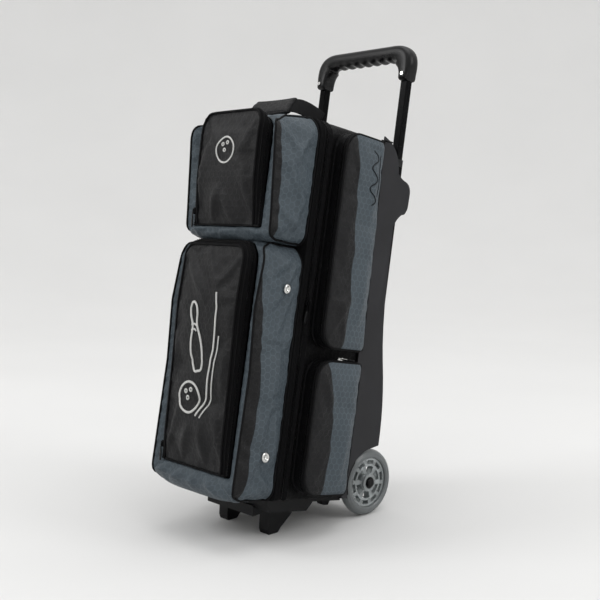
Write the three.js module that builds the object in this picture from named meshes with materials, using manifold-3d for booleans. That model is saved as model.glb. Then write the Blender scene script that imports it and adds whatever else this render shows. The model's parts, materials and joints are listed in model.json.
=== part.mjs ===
// A rolling bag for three bowling balls, stacked in one tall compartment behind a
// hinged front door that carries two zipped pockets. Two zipped pockets sit on each side.
// Millimetres, +Z up. The front faces -Y. The origin is on the floor, under the middle
// of the bag's box. The bag stands on two front feet and two rear wheels, leaning back.
import * as THREE from "three";
import { mergeVertices } from "three/addons/utils/BufferGeometryUtils.js";
import Module from "manifold-3d";

const wasm = await Module();
wasm.setup();

// ---- driving dimensions ----
const GAP = 0.3; // between faces that touch
const LEAN = THREE.MathUtils.degToRad(10.25);
const BALL_D = 216;
const BALLS = 3;
const WHEEL_R = 63.5;
const AXLE_Y = 109.065; // puts the origin under the middle of the whole object's box

// The bag's own frame: its origin is on the axle, +Z runs up the leaning bag.
const BAG = { half: 117, bottom: -27, top: 650, front: -226, rear: -46, wall: 3, corner: 34 };
const BAG_RADII = [8, 8, BAG.corner, BAG.corner];
const DOOR = { front: -247, rear: -230, wall: 3 };
const UPPER = { half: 114, bottom: 424, top: 648, front: -345, lift: 19 };
const LOWER = { half: 114, bottom: -30, top: 418, front: -352, lift: 40 };
const POCKET_CORNER = { bottom: 24, top: 34 };
const FRAME_BORDER = 18; // from a pocket's side to its flap's zip
const FLAP_T = 7;
const SIDE_UPPER = { front: -209, rear: -87, bottom: 248, top: 633 };
const SIDE_LOWER = { front: -211, rear: -87, bottom: -14, top: 226 };
const SIDE_DEPTH = 29;
const SIDE_FLAP_T = 6;
const SIDE_CORNER = { front: 34, rear: 10 };
const PLATE = { inner: 119.5, t: 3 };
const SHELL = { inX: 93, rear: -18, t: 3 };
const TUBE = { x: 109, y: -29, outer: 18.6, outerWall: 1, inner: 15.5, innerWall: 1.2 };
const TUBE_TOP = 606;
const GRIP_BOTTOM = 771;
const GRIP = { top: 844, front: -47, rear: -13, half: 123, split: -29 };
const FOOT = { x: 57, half: 12, front: 200, rear: 179 };
const WHEEL = { x: 107, w: 24, core: 47, coreW: 14, bearingR: 11, axleR: 4 };

// ---- materials ----
function paint(color, roughness, metalness = 0) {
  return new THREE.MeshStandardMaterial({ color, roughness, metalness });
}

const LOOK = {
  blackFabric: paint(0x1b1b1d, 0.85),
  greyFabric: paint(0x535c66, 0.75),
  webbing: paint(0x151517, 0.9),
  zip: paint(0x0d0d0e, 0.6),
  shell: paint(0x333336, 0.6),
  tray: paint(0x161617, 0.55),
  grip: paint(0x1c1c1d, 0.5),
  tube: paint(0x0c0c0d, 0.3, 0.6),
  steel: paint(0xc9c9c6, 0.25, 1),
  foam: paint(0x242426, 0.95),
  core: paint(0xb9c0c0, 0.15),
  tyre: paint(0x9aa3a2, 0.3),
};

// ---- geometry helpers ----
// A rounded rectangle; radii are bottom left, bottom right, top right, top left.
function roundRect(target, left, bottom, right, top, radii) {
  const [bl, br, tr, tl] = radii;
  target.moveTo(left + bl, bottom);
  target.lineTo(right - br, bottom);
  target.absarc(right - br, bottom + br, br, -Math.PI / 2, 0, false);
  target.lineTo(right, top - tr);
  target.absarc(right - tr, top - tr, tr, 0, Math.PI / 2, false);
  target.lineTo(left + tl, top);
  target.absarc(left + tl, top - tl, tl, Math.PI / 2, Math.PI, false);
  target.lineTo(left, bottom + bl);
  target.absarc(left + bl, bottom + bl, bl, Math.PI, 1.5 * Math.PI, false);
  return target;
}

function rectShape(left, bottom, right, top, radii) {
  return roundRect(new THREE.Shape(), left, bottom, right, top, radii);
}

// A closed wall around a rounded rectangle, of one thickness.
function ringShape(left, bottom, right, top, radii, wall) {
  const shape = rectShape(left, bottom, right, top, radii);
  const inner = radii.map((r) => Math.max(r - wall, 0.5));
  const hole = new THREE.Path();
  roundRect(hole, left + wall, bottom + wall, right - wall, top - wall, inner);
  shape.holes.push(hole);
  return shape;
}

function polygon(points) {
  return new THREE.Shape(points.map(([a, b]) => new THREE.Vector2(a, b)));
}

function extrude(shape, depth, curveSegments = 5) {
  return new THREE.ExtrudeGeometry(shape, { depth, curveSegments, bevelEnabled: false });
}

// The shape's x and y become the bag's x and z; it runs from y0 to y1.
function extrudeY(shape, y0, y1, curveSegments) {
  return extrude(shape, y1 - y0, curveSegments).rotateX(Math.PI / 2).translate(0, y1, 0);
}

// The shape's x and y become the bag's y and z; it runs from x0 to x1.
function extrudeX(shape, x0, x1, curveSegments) {
  const turn = new THREE.Matrix4().makeBasis(
    new THREE.Vector3(0, 1, 0),
    new THREE.Vector3(0, 0, 1),
    new THREE.Vector3(1, 0, 0),
  );
  return extrude(shape, x1 - x0, curveSegments).applyMatrix4(turn).translate(x0, 0, 0);
}

function extrudeZ(shape, z0, z1, curveSegments) {
  return extrude(shape, z1 - z0, curveSegments).translate(0, 0, z0);
}

function box(x0, x1, y0, y1, z0, z1) {
  return new THREE.BoxGeometry(x1 - x0, y1 - y0, z1 - z0).translate(
    (x0 + x1) / 2,
    (y0 + y1) / 2,
    (z0 + z1) / 2,
  );
}

// A profile of [radius, distance along the axle], turned about the bag's X axis.
function turned(profile, segments) {
  const points = profile.map(([r, along]) => new THREE.Vector2(r, -along)).reverse();
  return new THREE.LatheGeometry(points, segments).rotateZ(Math.PI / 2);
}

function cylinderX(radius, x0, x1, segments) {
  return turned([[0, x0], [radius, x0], [radius, x1], [0, x1]], segments);
}

function tubeProfile(r0, r1, x0, x1) {
  return [[r0, x0], [r1, x0], [r1, x1], [r0, x1], [r0, x0]];
}

function toSolid(geometry) {
  const bare = geometry.index ? geometry.toNonIndexed() : geometry.clone();
  bare.deleteAttribute("normal");
  bare.deleteAttribute("uv");
  const merged = mergeVertices(bare, 1e-3);
  return new wasm.Manifold(
    new wasm.Mesh({
      numProp: 3,
      vertProperties: merged.attributes.position.array,
      triVerts: new Uint32Array(merged.index.array),
    }),
  );
}

function toGeometry(solid) {
  const { vertProperties, triVerts } = solid.getMesh();
  const geometry = new THREE.BufferGeometry();
  geometry.setAttribute("position", new THREE.BufferAttribute(vertProperties, 3));
  geometry.setIndex(new THREE.BufferAttribute(triVerts, 1));
  geometry.computeVertexNormals();
  return geometry;
}

function join(...parts) {
  return toGeometry(parts.map(toSolid).reduce((all, next) => all.add(next)));
}

function cut(part, ...tools) {
  return toGeometry(tools.map(toSolid).reduce((left, tool) => left.subtract(tool), toSolid(part)));
}

// ---- the assembly ----
const bag = new THREE.Group();
bag.rotation.x = -LEAN;
bag.position.set(0, AXLE_Y, WHEEL_R);

function add(name, geometry, material) {
  const mesh = new THREE.Mesh(geometry, material);
  mesh.name = name;
  bag.add(mesh);
  return mesh;
}

const SIDES = [["left", -1], ["right", 1]];

// The round space that each wheel turns in, cut out of the bag's lower rear corners.
const WELL = { inner: 89.5, r: 68.5, t: 2 };

function wheelRooms() {
  return SIDES.map(([, s]) => {
    const room = cylinderX(WELL.r, WELL.inner, 130, 40);
    return s > 0 ? room : room.rotateZ(Math.PI);
  });
}

// ---- ball compartment: the fabric wall that runs around it, and the padded cups ----
function ballCompartment() {
  const outline = [-BAG.half, BAG.bottom, BAG.half, BAG.top, BAG_RADII];
  const wall = extrudeY(ringShape(...outline, BAG.wall), BAG.front, BAG.rear);
  add("main_wall", cut(wall, ...wheelRooms()), LOOK.blackFabric);
  const zip = ringShape(...outline, BAG.wall + 3);
  add("main_zip", extrudeY(zip, DOOR.rear + GAP, BAG.front - GAP), LOOK.zip);

  const cup = { half: 110, front: -222, rear: -48, t: 16, hole: 54 };
  const pitch = (BAG.top - BAG.bottom - 2 * BAG.wall) / BALLS;
  const centreY = DOOR.front + DOOR.wall + BALL_D / 2 + 3;
  ["bottom", "middle", "top"].forEach((place, i) => {
    const z0 = BAG.bottom + BAG.wall + GAP + i * pitch;
    const shape = rectShape(-cup.half, cup.front, cup.half, cup.rear, [16, 16, 16, 16]);
    const hole = new THREE.Path();
    hole.absarc(0, centreY, cup.hole, 0, 2 * Math.PI, true);
    shape.holes.push(hole);
    const block = extrudeZ(shape, z0, z0 + cup.t, 6);
    add("ball_cup_" + place, i === 0 ? cut(block, ...wheelRooms()) : block, LOOK.foam);
  });
}

// ---- rigid back: the shell, side plates, handle bridge, tray, feet ----
function backShell() {
  const { inX, t, rear } = SHELL;
  const flangeX = PLATE.inner - GAP;
  const front = BAG.rear + GAP + t;
  const section = polygon([
    [-flangeX, front - t],
    [-inX, front - t],
    [-inX, rear - t],
    [inX, rear - t],
    [inX, front - t],
    [flangeX, front - t],
    [flangeX, front],
    [inX + t, front],
    [inX + t, rear],
    [-inX - t, rear],
    [-inX - t, front],
    [-flangeX, front],
  ]);
  const top = TUBE_TOP + 4;
  const shell = extrudeZ(section, BAG.bottom, top);
  add("back_shell", cut(shell, ...wheelRooms()), LOOK.shell);
  const z0 = top + GAP;
  const corner = BAG.corner - 4;
  const panel = rectShape(-BAG.half + 1, z0, BAG.half - 1, BAG.top - 1, [1, 1, corner, corner]);
  const ledge = box(-inX - t, inX + t, front - t, rear, z0, z0 + t);
  add("top_back_panel", join(extrudeY(panel, front - t, front), ledge), LOOK.shell);
}

// A thin arched cover over each wheel, closed on its inner side.
function wheelWells() {
  const r = WELL.r - GAP;
  for (const [side, s] of SIDES) {
    const inner = WELL.inner + GAP;
    const profile = [[0, inner], [r, inner], [r, BAG.half - GAP], [r - WELL.t, BAG.half - GAP]];
    const inside = [[r - WELL.t, inner + WELL.t], [0, inner + WELL.t]];
    const drum = turned([...profile, ...inside], 40);
    if (s < 0) drum.rotateZ(Math.PI);
    const keep = toSolid(box(-130, 130, -80, -21.5, BAG.bottom, 80));
    add("wheel_well_" + side, toGeometry(toSolid(drum).intersect(keep)), LOOK.shell);
  }
}

// Side outline of a plate: straight front edge, rounded top, a rear stand-off, a flare
// above the wheel and an arch over it.
function plateShape() {
  const shape = new THREE.Shape();
  const arch = WHEEL_R + 4;
  const archStart = Math.atan2(-27, -60);
  shape.moveTo(-79, BAG.bottom);
  shape.lineTo(arch * Math.cos(archStart), arch * Math.sin(archStart));
  shape.absarc(0, 0, arch, archStart + 2 * Math.PI, THREE.MathUtils.degToRad(108), true);
  shape.lineTo(8, 72);
  shape.quadraticCurveTo(10, 150, -10, 232);
  shape.quadraticCurveTo(-31, 320, -29, 492);
  shape.quadraticCurveTo(-22, 508, -8, 517);
  shape.quadraticCurveTo(5, 522, 6, 535);
  shape.lineTo(7, 560);
  shape.quadraticCurveTo(6, 576, -8, 580);
  shape.quadraticCurveTo(-24, 583, -33, 592);
  shape.quadraticCurveTo(-38, 640, -84, 652);
  shape.lineTo(-84, 610);
  return shape;
}

function rigidBack() {
  backShell();
  wheelWells();
  for (const [side, s] of SIDES) {
    const a = s * PLATE.inner;
    const b = s * (PLATE.inner + PLATE.t);
    add("side_plate_" + side, extrudeX(plateShape(), Math.min(a, b), Math.max(a, b), 6), LOOK.shell);
  }
  const bridge = rectShape(SHELL.rear + GAP, 517, 6.6, 580, [6, 12, 12, 6]);
  const reach = PLATE.inner - GAP;
  add("handle_bridge", extrudeX(bridge, -reach, reach, 3), LOOK.shell);
  const seat = [SHELL.inX + SHELL.t + GAP, reach];
  for (const [side, s] of SIDES) {
    const [a, b] = s > 0 ? seat : [-seat[1], -seat[0]];
    add("tube_seat_" + side, box(a, b, -42.4, -16, 70, 84 - GAP), LOOK.shell);
  }

  const under = BAG.bottom - GAP;
  const tray = polygon([
    [-245, under],
    [-245, under - 12],
    [-238, under - 24],
    [-146, under - 24],
    [-132, under - 8],
    [-18, under - 8],
    [-18, under],
  ]);
  const lip = polygon([
    [-244, under - 20],
    [-241, under - 39],
    [-224, under - 35],
    [-213, under - 20],
  ]);
  const boss = polygon([
    [-82, under - 6],
    [-68, under - 24],
    [-56, under - 24],
    [-46, under - 6],
  ]);
  const bosses = SIDES.map(([, s]) => extrudeX(boss, s * 62 - 8, s * 62 + 8));
  const whole = join(extrudeX(tray, -102, 102), extrudeX(lip, -64, 64), ...bosses);
  add("base_tray", cut(whole, ...wheelRooms()), LOOK.tray);
}

// The floor seen from the bag's frame: its height at a distance y from the axle.
function floorAt(y) {
  return (y * Math.sin(LEAN) - WHEEL_R) / Math.cos(LEAN);
}

function feet() {
  const top = BAG.bottom - 24 - 2 * GAP;
  const side = polygon([
    [-FOOT.front - 9, top],
    [-FOOT.front - 4, floorAt(-FOOT.front) + 7],
    [-FOOT.front, floorAt(-FOOT.front)],
    [-FOOT.rear, floorAt(-FOOT.rear)],
    [-FOOT.rear + 6, floorAt(-FOOT.rear) + 9],
    [-FOOT.rear + 27, top - 14],
    [-FOOT.rear + 36, top],
  ]);
  for (const [name, s] of SIDES) {
    const mid = s * FOOT.x;
    add("foot_" + name, extrudeX(side, mid - FOOT.half, mid + FOOT.half), LOOK.tray);
  }
}

// ---- running gear ----
function runningGear() {
  const bore = cylinderX(WHEEL.axleR + GAP, -130, 130, 20);
  const reach = WELL.inner - GAP;
  const beam = extrudeX(rectShape(SHELL.rear + GAP, -18, 16, 18, [3, 12, 12, 3]), -reach, reach, 3);
  add("axle_housing", cut(beam, bore), LOOK.tray);
  add("axle", cylinderX(WHEEL.axleR, -121, 121, 20), LOOK.steel);
  for (const [side, s] of SIDES) {
    const mid = s * WHEEL.x;
    const cap = [[WHEEL.axleR + GAP, 119.6], [9, 119.6], [9, 122.4], [6.5, 124.4], [0, 124.4]];
    const capInside = [[0, 121 + GAP], [WHEEL.axleR + GAP, 121 + GAP], [WHEEL.axleR + GAP, 119.6]];
    const capShape = turned([...cap, ...capInside], 20);
    add("axle_cap_" + side, s > 0 ? capShape : capShape.rotateZ(Math.PI), LOOK.tray);
    wheel(side, mid, s);
  }
}

// A window between two radii and two angles, as a hole in the wheel's core.
function windowPath(r0, r1, a0, a1) {
  const hole = new THREE.Path();
  hole.absarc(0, 0, r1, a0, a1, false);
  hole.absarc(0, 0, r0, a1, a0, true);
  return hole;
}

function wheel(side, mid, s) {
  const half = WHEEL.w / 2;
  const inside = WHEEL.core + GAP;
  const tyre = [
    [inside, -half + 2],
    [50, -half],
    [56, -half],
    [60.5, -half + 3],
    [63, -half + 8],
    [WHEEL_R, 0],
    [63, half - 8],
    [60.5, half - 3],
    [56, half],
    [50, half],
    [inside, half - 2],
    [inside, -half + 2],
  ];
  add("tyre_" + side, turned(tyre, 40).translate(mid, 0, 0), LOOK.tyre);

  const disc = new THREE.Shape();
  roundRect(disc, -WHEEL.core, -WHEEL.core, WHEEL.core, WHEEL.core, Array(4).fill(WHEEL.core - 0.01));
  const spokes = 6;
  const webs = 10;
  for (let i = 0; i < spokes; i++) {
    const a = (i * 2 * Math.PI) / spokes;
    disc.holes.push(windowPath(18, 31, a + 0.17, a + (2 * Math.PI) / spokes - 0.17));
  }
  for (let i = 0; i < webs; i++) {
    const a = (i * 2 * Math.PI) / webs;
    disc.holes.push(windowPath(35, 42.5, a + 0.1, a + (2 * Math.PI) / webs - 0.1));
  }
  const bearing = cylinderX(WHEEL.bearingR + GAP, -20, 20, 20);
  const plate = extrudeX(disc, -WHEEL.coreW / 2, WHEEL.coreW / 2, 3);
  const hub = cylinderX(17, -half, half, 20);
  add("wheel_core_" + side, cut(join(plate, hub), bearing).translate(mid, 0, 0), LOOK.core);

  const ball = tubeProfile(WHEEL.axleR + GAP, WHEEL.bearingR, half - 7, half);
  add("bearing_" + side, turned(ball, 20).rotateZ(s > 0 ? 0 : Math.PI).translate(mid, 0, 0), LOOK.steel);
}

// ---- pull handle: fixed tubes, sliding tubes, guides, plugs, grip ----
function squareTube(size, wall, x, y, z0, z1) {
  const h = size / 2;
  const radii = [1.2, 1.2, 1.2, 1.2];
  return extrudeZ(ringShape(-h, -h, h, h, radii, wall), z0, z1, 1).translate(x, y, 0);
}

function pullHandle() {
  for (const [side, s] of SIDES) {
    const x = s * TUBE.x;
    const fixed = squareTube(TUBE.outer, TUBE.outerWall, x, TUBE.y, 84, TUBE_TOP);
    add("outer_tube_" + side, fixed, LOOK.tube);
    const collar = squareTube(TUBE.outer, 1.25, x, TUBE.y, TUBE_TOP + GAP, TUBE_TOP + 14);
    add("tube_guide_" + side, collar, LOOK.grip);
    const sliding = squareTube(TUBE.inner, TUBE.innerWall, x, TUBE.y, 470, GRIP_BOTTOM + 24);
    add("inner_tube_" + side, sliding, LOOK.tube);
    const h = TUBE.inner / 2;
    const plug = box(-h, h, -h, h, 452, 470 - GAP).translate(x, TUBE.y, 0);
    add("tube_plug_" + side, plug, LOOK.grip);
    const shank = new THREE.CylinderGeometry(1.8, 1.8, 8, 12).translate(0, 4, 0);
    const head = new THREE.CylinderGeometry(3.6, 3.6, 1.6, 16).translate(0, -0.8, 0);
    const screw = join(shank, head).translate(s * 111, GRIP.front - GAP, GRIP_BOTTOM + 12);
    add("grip_screw_" + side, screw, LOOK.steel);
  }
  grip();
}

// The grip's front outline: two sockets, rounded shoulders, and finger grooves below.
function gripShape() {
  const shape = new THREE.Shape();
  const socket = { inner: 98, outer: 120.5 };
  const under = 811;
  const grooves = 7;
  const run = 70;
  shape.moveTo(socket.outer, GRIP_BOTTOM);
  shape.bezierCurveTo(socket.outer, 792, GRIP.half, 796, GRIP.half, 808);
  shape.quadraticCurveTo(GRIP.half - 2, GRIP.top, 88, GRIP.top);
  shape.lineTo(-88, GRIP.top);
  shape.quadraticCurveTo(-GRIP.half + 2, GRIP.top, -GRIP.half, 808);
  shape.bezierCurveTo(-GRIP.half, 796, -socket.outer, 792, -socket.outer, GRIP_BOTTOM);
  shape.lineTo(-socket.inner, GRIP_BOTTOM);
  shape.quadraticCurveTo(-socket.inner + 1, under - 6, -run, under);
  for (let i = 0; i < grooves; i++) {
    const pitch = (2 * run) / grooves;
    const a = -run + i * pitch;
    shape.quadraticCurveTo(a + pitch / 2, under + 6, a + pitch, under);
  }
  shape.quadraticCurveTo(socket.inner - 1, under - 6, socket.inner, GRIP_BOTTOM);
  return shape;
}

function grip() {
  const h = TUBE.inner / 2 + GAP;
  const sockets = SIDES.map(([, s]) =>
    box(-h, h, -h, h, GRIP_BOTTOM - 10, GRIP_BOTTOM + 25).translate(s * TUBE.x, TUBE.y, 0),
  );
  const holes = SIDES.map(([, s]) =>
    new THREE.CylinderGeometry(2.2, 2.2, 14, 12).translate(s * 111, GRIP.front + 5, GRIP_BOTTOM + 12),
  );
  const front = extrudeY(gripShape(), GRIP.front, GRIP.split - GAP / 2, 4);
  const rear = extrudeY(gripShape(), GRIP.split + GAP / 2, GRIP.rear, 4);
  add("grip_front", cut(front, ...sockets, ...holes), LOOK.grip);
  add("grip_rear", cut(rear, ...sockets), LOOK.grip);
}

// ---- front door with its two pockets ----
function door() {
  const outline = [-BAG.half, BAG.bottom, BAG.half, BAG.top, BAG_RADII];
  const panel = extrudeY(rectShape(...outline), DOOR.front, DOOR.front + DOOR.wall + 1);
  const rim = extrudeY(ringShape(...outline, DOOR.wall), DOOR.front, DOOR.rear);
  add("door_panel", join(panel, rim), LOOK.blackFabric);
  for (const [name, p] of [["upper", UPPER], ["lower", LOWER]]) {
    frontPocket(name, p);
  }
  for (const [side, s] of SIDES) {
    for (const [place, z] of [["top", 340], ["bottom", 51]]) {
      const ring = turned(tubeProfile(3.4, 9, 0, 1.6), 20);
      if (s < 0) ring.rotateZ(Math.PI);
      ring.translate(s * (LOWER.half + GAP), -289, z);
      add("vent_eyelet_" + side + "_" + place, ring, LOOK.steel);
    }
  }
  slider("door_slider", [BAG.half + 1.2, -228, 322], 0);
}

// A pocket's wall and the border around its mouth, and the flap that closes it.
function frontPocket(name, p) {
  const { bottom, top } = POCKET_CORNER;
  const outline = [-p.half, p.bottom, p.half, p.top, [bottom, bottom, top, top]];
  const wall = extrudeY(ringShape(...outline, 3), p.front, DOOR.front - GAP);
  const border = extrudeY(ringShape(...outline, FRAME_BORDER + 6), p.front, p.front + 3);
  add(name + "_pocket", join(wall, border), LOOK.greyFabric);
  const half = p.half - FRAME_BORDER;
  const flap = rectShape(-half, p.bottom + p.lift, half, p.top - 4, [4, 4, top, top]);
  add(name + "_flap", extrudeY(flap, p.front - GAP - FLAP_T, p.front - GAP), LOOK.blackFabric);
}

// A zip slider with its pull, facing out along +X or, for the front, along -Y.
function slider(name, [x, y, z], turn) {
  const body = box(0, 4, -4, 4, -6, 6);
  const pull = box(1.2, 3, -2.5, 2.5, -34, -5);
  const made = join(body, pull).rotateZ(turn);
  add(name, made.translate(x, y, z), LOOK.zip);
}

// ---- side pockets ----
function sidePockets() {
  for (const [side, s] of SIDES) {
    for (const [place, p] of [["upper", SIDE_UPPER], ["lower", SIDE_LOWER]]) {
      const { front, rear } = SIDE_CORNER;
      const radii = [front, rear, rear, front];
      const a = BAG.half + GAP;
      const b = a + SIDE_DEPTH;
      const wall = ringShape(p.front, p.bottom, p.rear, p.top, radii, 3);
      const wallSpan = s > 0 ? [a, b] : [-b, -a];
      add(side + "_" + place + "_pocket", extrudeX(wall, ...wallSpan), LOOK.blackFabric);
      const c = b + GAP;
      const d = c + SIDE_FLAP_T;
      const flap = rectShape(p.front + 2, p.bottom + 2, p.rear - 2, p.top - 2, radii);
      const flapSpan = s > 0 ? [c, d] : [-d, -c];
      add(side + "_" + place + "_flap", extrudeX(flap, ...flapSpan), LOOK.greyFabric);
    }
  }
}

// ---- webbing carry handle on top, and its padded wrap ----
// It is drawn standing up, as distance along X and height, then laid forward.
const CARRY = { foot: 92, shoulder: 70, wrap: 59, rise: 48, width: 30, t: 2.6, y: -218, tilt: 50 };

function strapShape() {
  const { foot, shoulder, rise, t } = CARRY;
  const shape = new THREE.Shape();
  const top = rise + t / 2;
  const under = rise - t / 2;
  shape.moveTo(-foot - t, -20);
  shape.lineTo(-foot - t, 0);
  shape.quadraticCurveTo(-shoulder - 12, top, -shoulder + 11, top);
  shape.lineTo(shoulder - 11, top);
  shape.quadraticCurveTo(shoulder + 12, top, foot + t, 0);
  shape.lineTo(foot + t, -20);
  shape.lineTo(foot, -20);
  shape.lineTo(foot, 0);
  shape.quadraticCurveTo(shoulder + 10, under, shoulder - 11, under);
  shape.lineTo(-shoulder + 11, under);
  shape.quadraticCurveTo(-shoulder - 10, under, -foot, 0);
  shape.lineTo(-foot, -20);
  return shape;
}

function layForward(geometry) {
  return geometry
    .rotateX(THREE.MathUtils.degToRad(CARRY.tilt))
    .translate(0, CARRY.y, BAG.top + GAP);
}

function carryHandle() {
  const { wrap: wrapEnd, rise, width } = CARRY;
  const half = width / 2;
  const strap = layForward(extrudeY(strapShape(), -half, half, 5));
  const below = box(-200, 200, -300, -100, 500, BAG.top + GAP);
  add("carry_strap", cut(strap, below), LOOK.webbing);
  const wrapHalf = half + 3;
  const outside = rectShape(-wrapEnd, rise - 6, wrapEnd, rise + 5, [5, 5, 5, 5]);
  const wrap = cut(
    extrudeY(outside, -wrapHalf, wrapHalf, 2),
    extrudeY(rectShape(-70, rise - 4.2, 70, rise + 2, [1, 1, 1, 1]), -half - GAP, half + GAP, 1),
  );
  add("carry_pad", layForward(wrap), LOOK.webbing);
}

ballCompartment();
rigidBack();
feet();
runningGear();
pullHandle();
door();
sidePockets();
carryHandle();

export default bag;
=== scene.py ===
"""A rolling bag for three bowling balls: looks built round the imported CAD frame.

Most pieces are drawn in the bag's own frame, in millimetres: its origin is on the
axle, +Z runs up the leaning bag and the front faces -Y. to_row() turns that into metres.
"""
import json
import math

import bmesh
import bpy
import numpy as np
from mathutils import Matrix, Vector


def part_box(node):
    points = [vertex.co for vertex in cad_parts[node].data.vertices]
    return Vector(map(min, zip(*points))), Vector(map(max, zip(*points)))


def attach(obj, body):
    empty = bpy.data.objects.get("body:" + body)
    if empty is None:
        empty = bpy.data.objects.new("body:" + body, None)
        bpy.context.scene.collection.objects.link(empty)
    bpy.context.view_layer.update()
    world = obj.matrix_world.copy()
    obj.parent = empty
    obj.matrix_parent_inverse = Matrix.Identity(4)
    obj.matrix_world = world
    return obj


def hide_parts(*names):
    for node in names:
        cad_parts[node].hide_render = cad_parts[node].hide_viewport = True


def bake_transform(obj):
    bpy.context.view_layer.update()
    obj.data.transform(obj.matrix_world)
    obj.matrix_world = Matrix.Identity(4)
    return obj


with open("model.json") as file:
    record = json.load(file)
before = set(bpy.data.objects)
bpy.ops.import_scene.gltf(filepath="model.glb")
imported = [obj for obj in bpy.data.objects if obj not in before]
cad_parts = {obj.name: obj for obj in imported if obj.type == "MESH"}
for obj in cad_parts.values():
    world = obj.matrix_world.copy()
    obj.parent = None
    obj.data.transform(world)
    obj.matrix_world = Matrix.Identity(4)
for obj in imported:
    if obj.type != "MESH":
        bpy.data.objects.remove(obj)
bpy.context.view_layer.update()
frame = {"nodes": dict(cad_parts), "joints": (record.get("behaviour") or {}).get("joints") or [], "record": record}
SCENE = bpy.context.scene
SIDES = (("left", -1), ("right", 1))

# ---- the bag's own frame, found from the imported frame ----
slide = next(j for j in frame["joints"] if j["name"] == "handle_slide")
LEAN = math.atan2(slide["axis"][1], slide["axis"][2])
AXLE = (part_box("axle")[0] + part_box("axle")[1]) / 2
TO_ROW = Matrix.Translation(AXLE) @ Matrix.Rotation(-LEAN, 4, "X") @ Matrix.Scale(0.001, 4)
ROW = np.array(TO_ROW)
BACK = np.linalg.inv(ROW)


def to_row(points):
    return np.asarray(points, float) @ ROW[:3, :3].T + ROW[:3, 3]


def to_bag(points):
    return np.asarray(points, float) @ BACK[:3, :3].T + BACK[:3, 3]


# ---- sizes of the bag, in millimetres ----
HALF = 117
BOTTOM, TOP = -27, 650
MAIN_FRONT, MAIN_REAR = -226, -46
DOOR_FRONT, DOOR_REAR = -247, -230
UPPER = {
    "name": "upper", "half": 114, "bottom": 420, "top": 650, "lift": 19,
    "mouth_half": 92, "mouth": -335, "droop": 15, "dome": 12,
    "rim": ([424, 470, 600, 650], [-333, -337, -350, -350]),
    "panel": ([443, 520, 600, 650], [-340, -352, -355, -351]),
    "band": ([430, 463, 505, 555, 588, 640], [-317, -321, -325, -331, -336, -340]),
}
LOWER = {
    "name": "lower", "half": 114, "bottom": -30, "top": 418, "lift": 40,
    "mouth_half": 95, "mouth": -334, "droop": 0, "dome": 5,
    "rim": ([-30, 0, 190, 300, 380, 418], [-338, -341, -338, -345, -338, -334]),
    "panel": ([10, 60, 190, 300, 380, 418], [-341, -347, -352, -357, -354, -350]),
    "band": ([-20, 62, 150, 249, 316, 366, 410], [-321, -317, -314, -323, -330, -336, -338]),
}
SIDE_POCKETS = (
    {"place": "upper", "front": -209, "rear": -92, "bottom": 248, "top": 633, "slant": 12},
    {"place": "lower", "front": -211, "rear": -90, "bottom": -14, "top": 226, "slant": 0},
)
SIDE_BASE, SIDE_EDGE = HALF + 0.4, 146
REAR_ROUND, REAR_DROP = 26, 16  # how a side pocket's outer face falls towards its rear edge


# ---- node helpers ----
def node(tree, kind, inputs=None, **settings):
    made = tree.nodes.new("ShaderNode" + kind)
    for key, value in settings.items():
        setattr(made, key, value)
    for key, value in (inputs or {}).items():
        if isinstance(value, bpy.types.NodeSocket):
            tree.links.new(value, made.inputs[key])
        else:
            made.inputs[key].default_value = value
    return made


def maths(tree, operation, *values):
    return node(tree, "Math", dict(enumerate(values)), operation=operation).outputs[0]


def vector(tree, operation, *values, socket="Vector"):
    made = node(tree, "VectorMath", dict(enumerate(values)), operation=operation)
    return made.outputs[socket]


def times(tree, value, factor):
    return maths(tree, "MULTIPLY", value, factor)


def in_object(tree):
    return node(tree, "TexCoord").outputs["Object"]


def ramp(tree, value, low, high, to_low=0.0, to_high=1.0):
    inputs = dict(enumerate((value, low, high, to_low, to_high)))
    return node(tree, "MapRange", inputs).outputs[0]


def paint(tree, shader, colour, value):
    """Sets the base colour: a colour, brightened by a value."""
    shaded = node(tree, "HueSaturation", {"Value": value, "Color": colour})
    tree.links.new(shaded.outputs[0], shader.inputs["Base Color"])


def rgb(r, g, b):
    return (r, g, b, 1.0)


def new_material(name, roughness=0.6, **sockets):
    made = bpy.data.materials.new(name)
    made.use_nodes = True
    tree = made.node_tree
    shader = tree.nodes["Principled BSDF"]
    shader.inputs["Roughness"].default_value = roughness
    for key, value in sockets.items():
        shader.inputs[key.replace("_", " ")].default_value = value
    return made, tree, shader


def noise(tree, where, scale, detail=3.0, roughness=0.5):
    inputs = {"Vector": where, "Scale": scale, "Detail": detail, "Roughness": roughness}
    return node(tree, "TexNoise", inputs).outputs["Fac"]


def bump(tree, shader, height, distance, strength, normal=None):
    inputs = {"Height": height, "Distance": distance, "Strength": strength}
    if normal is not None:
        inputs["Normal"] = normal
    made = node(tree, "Bump", inputs)
    tree.links.new(made.outputs[0], shader.inputs["Normal"])
    return made.outputs[0]


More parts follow.
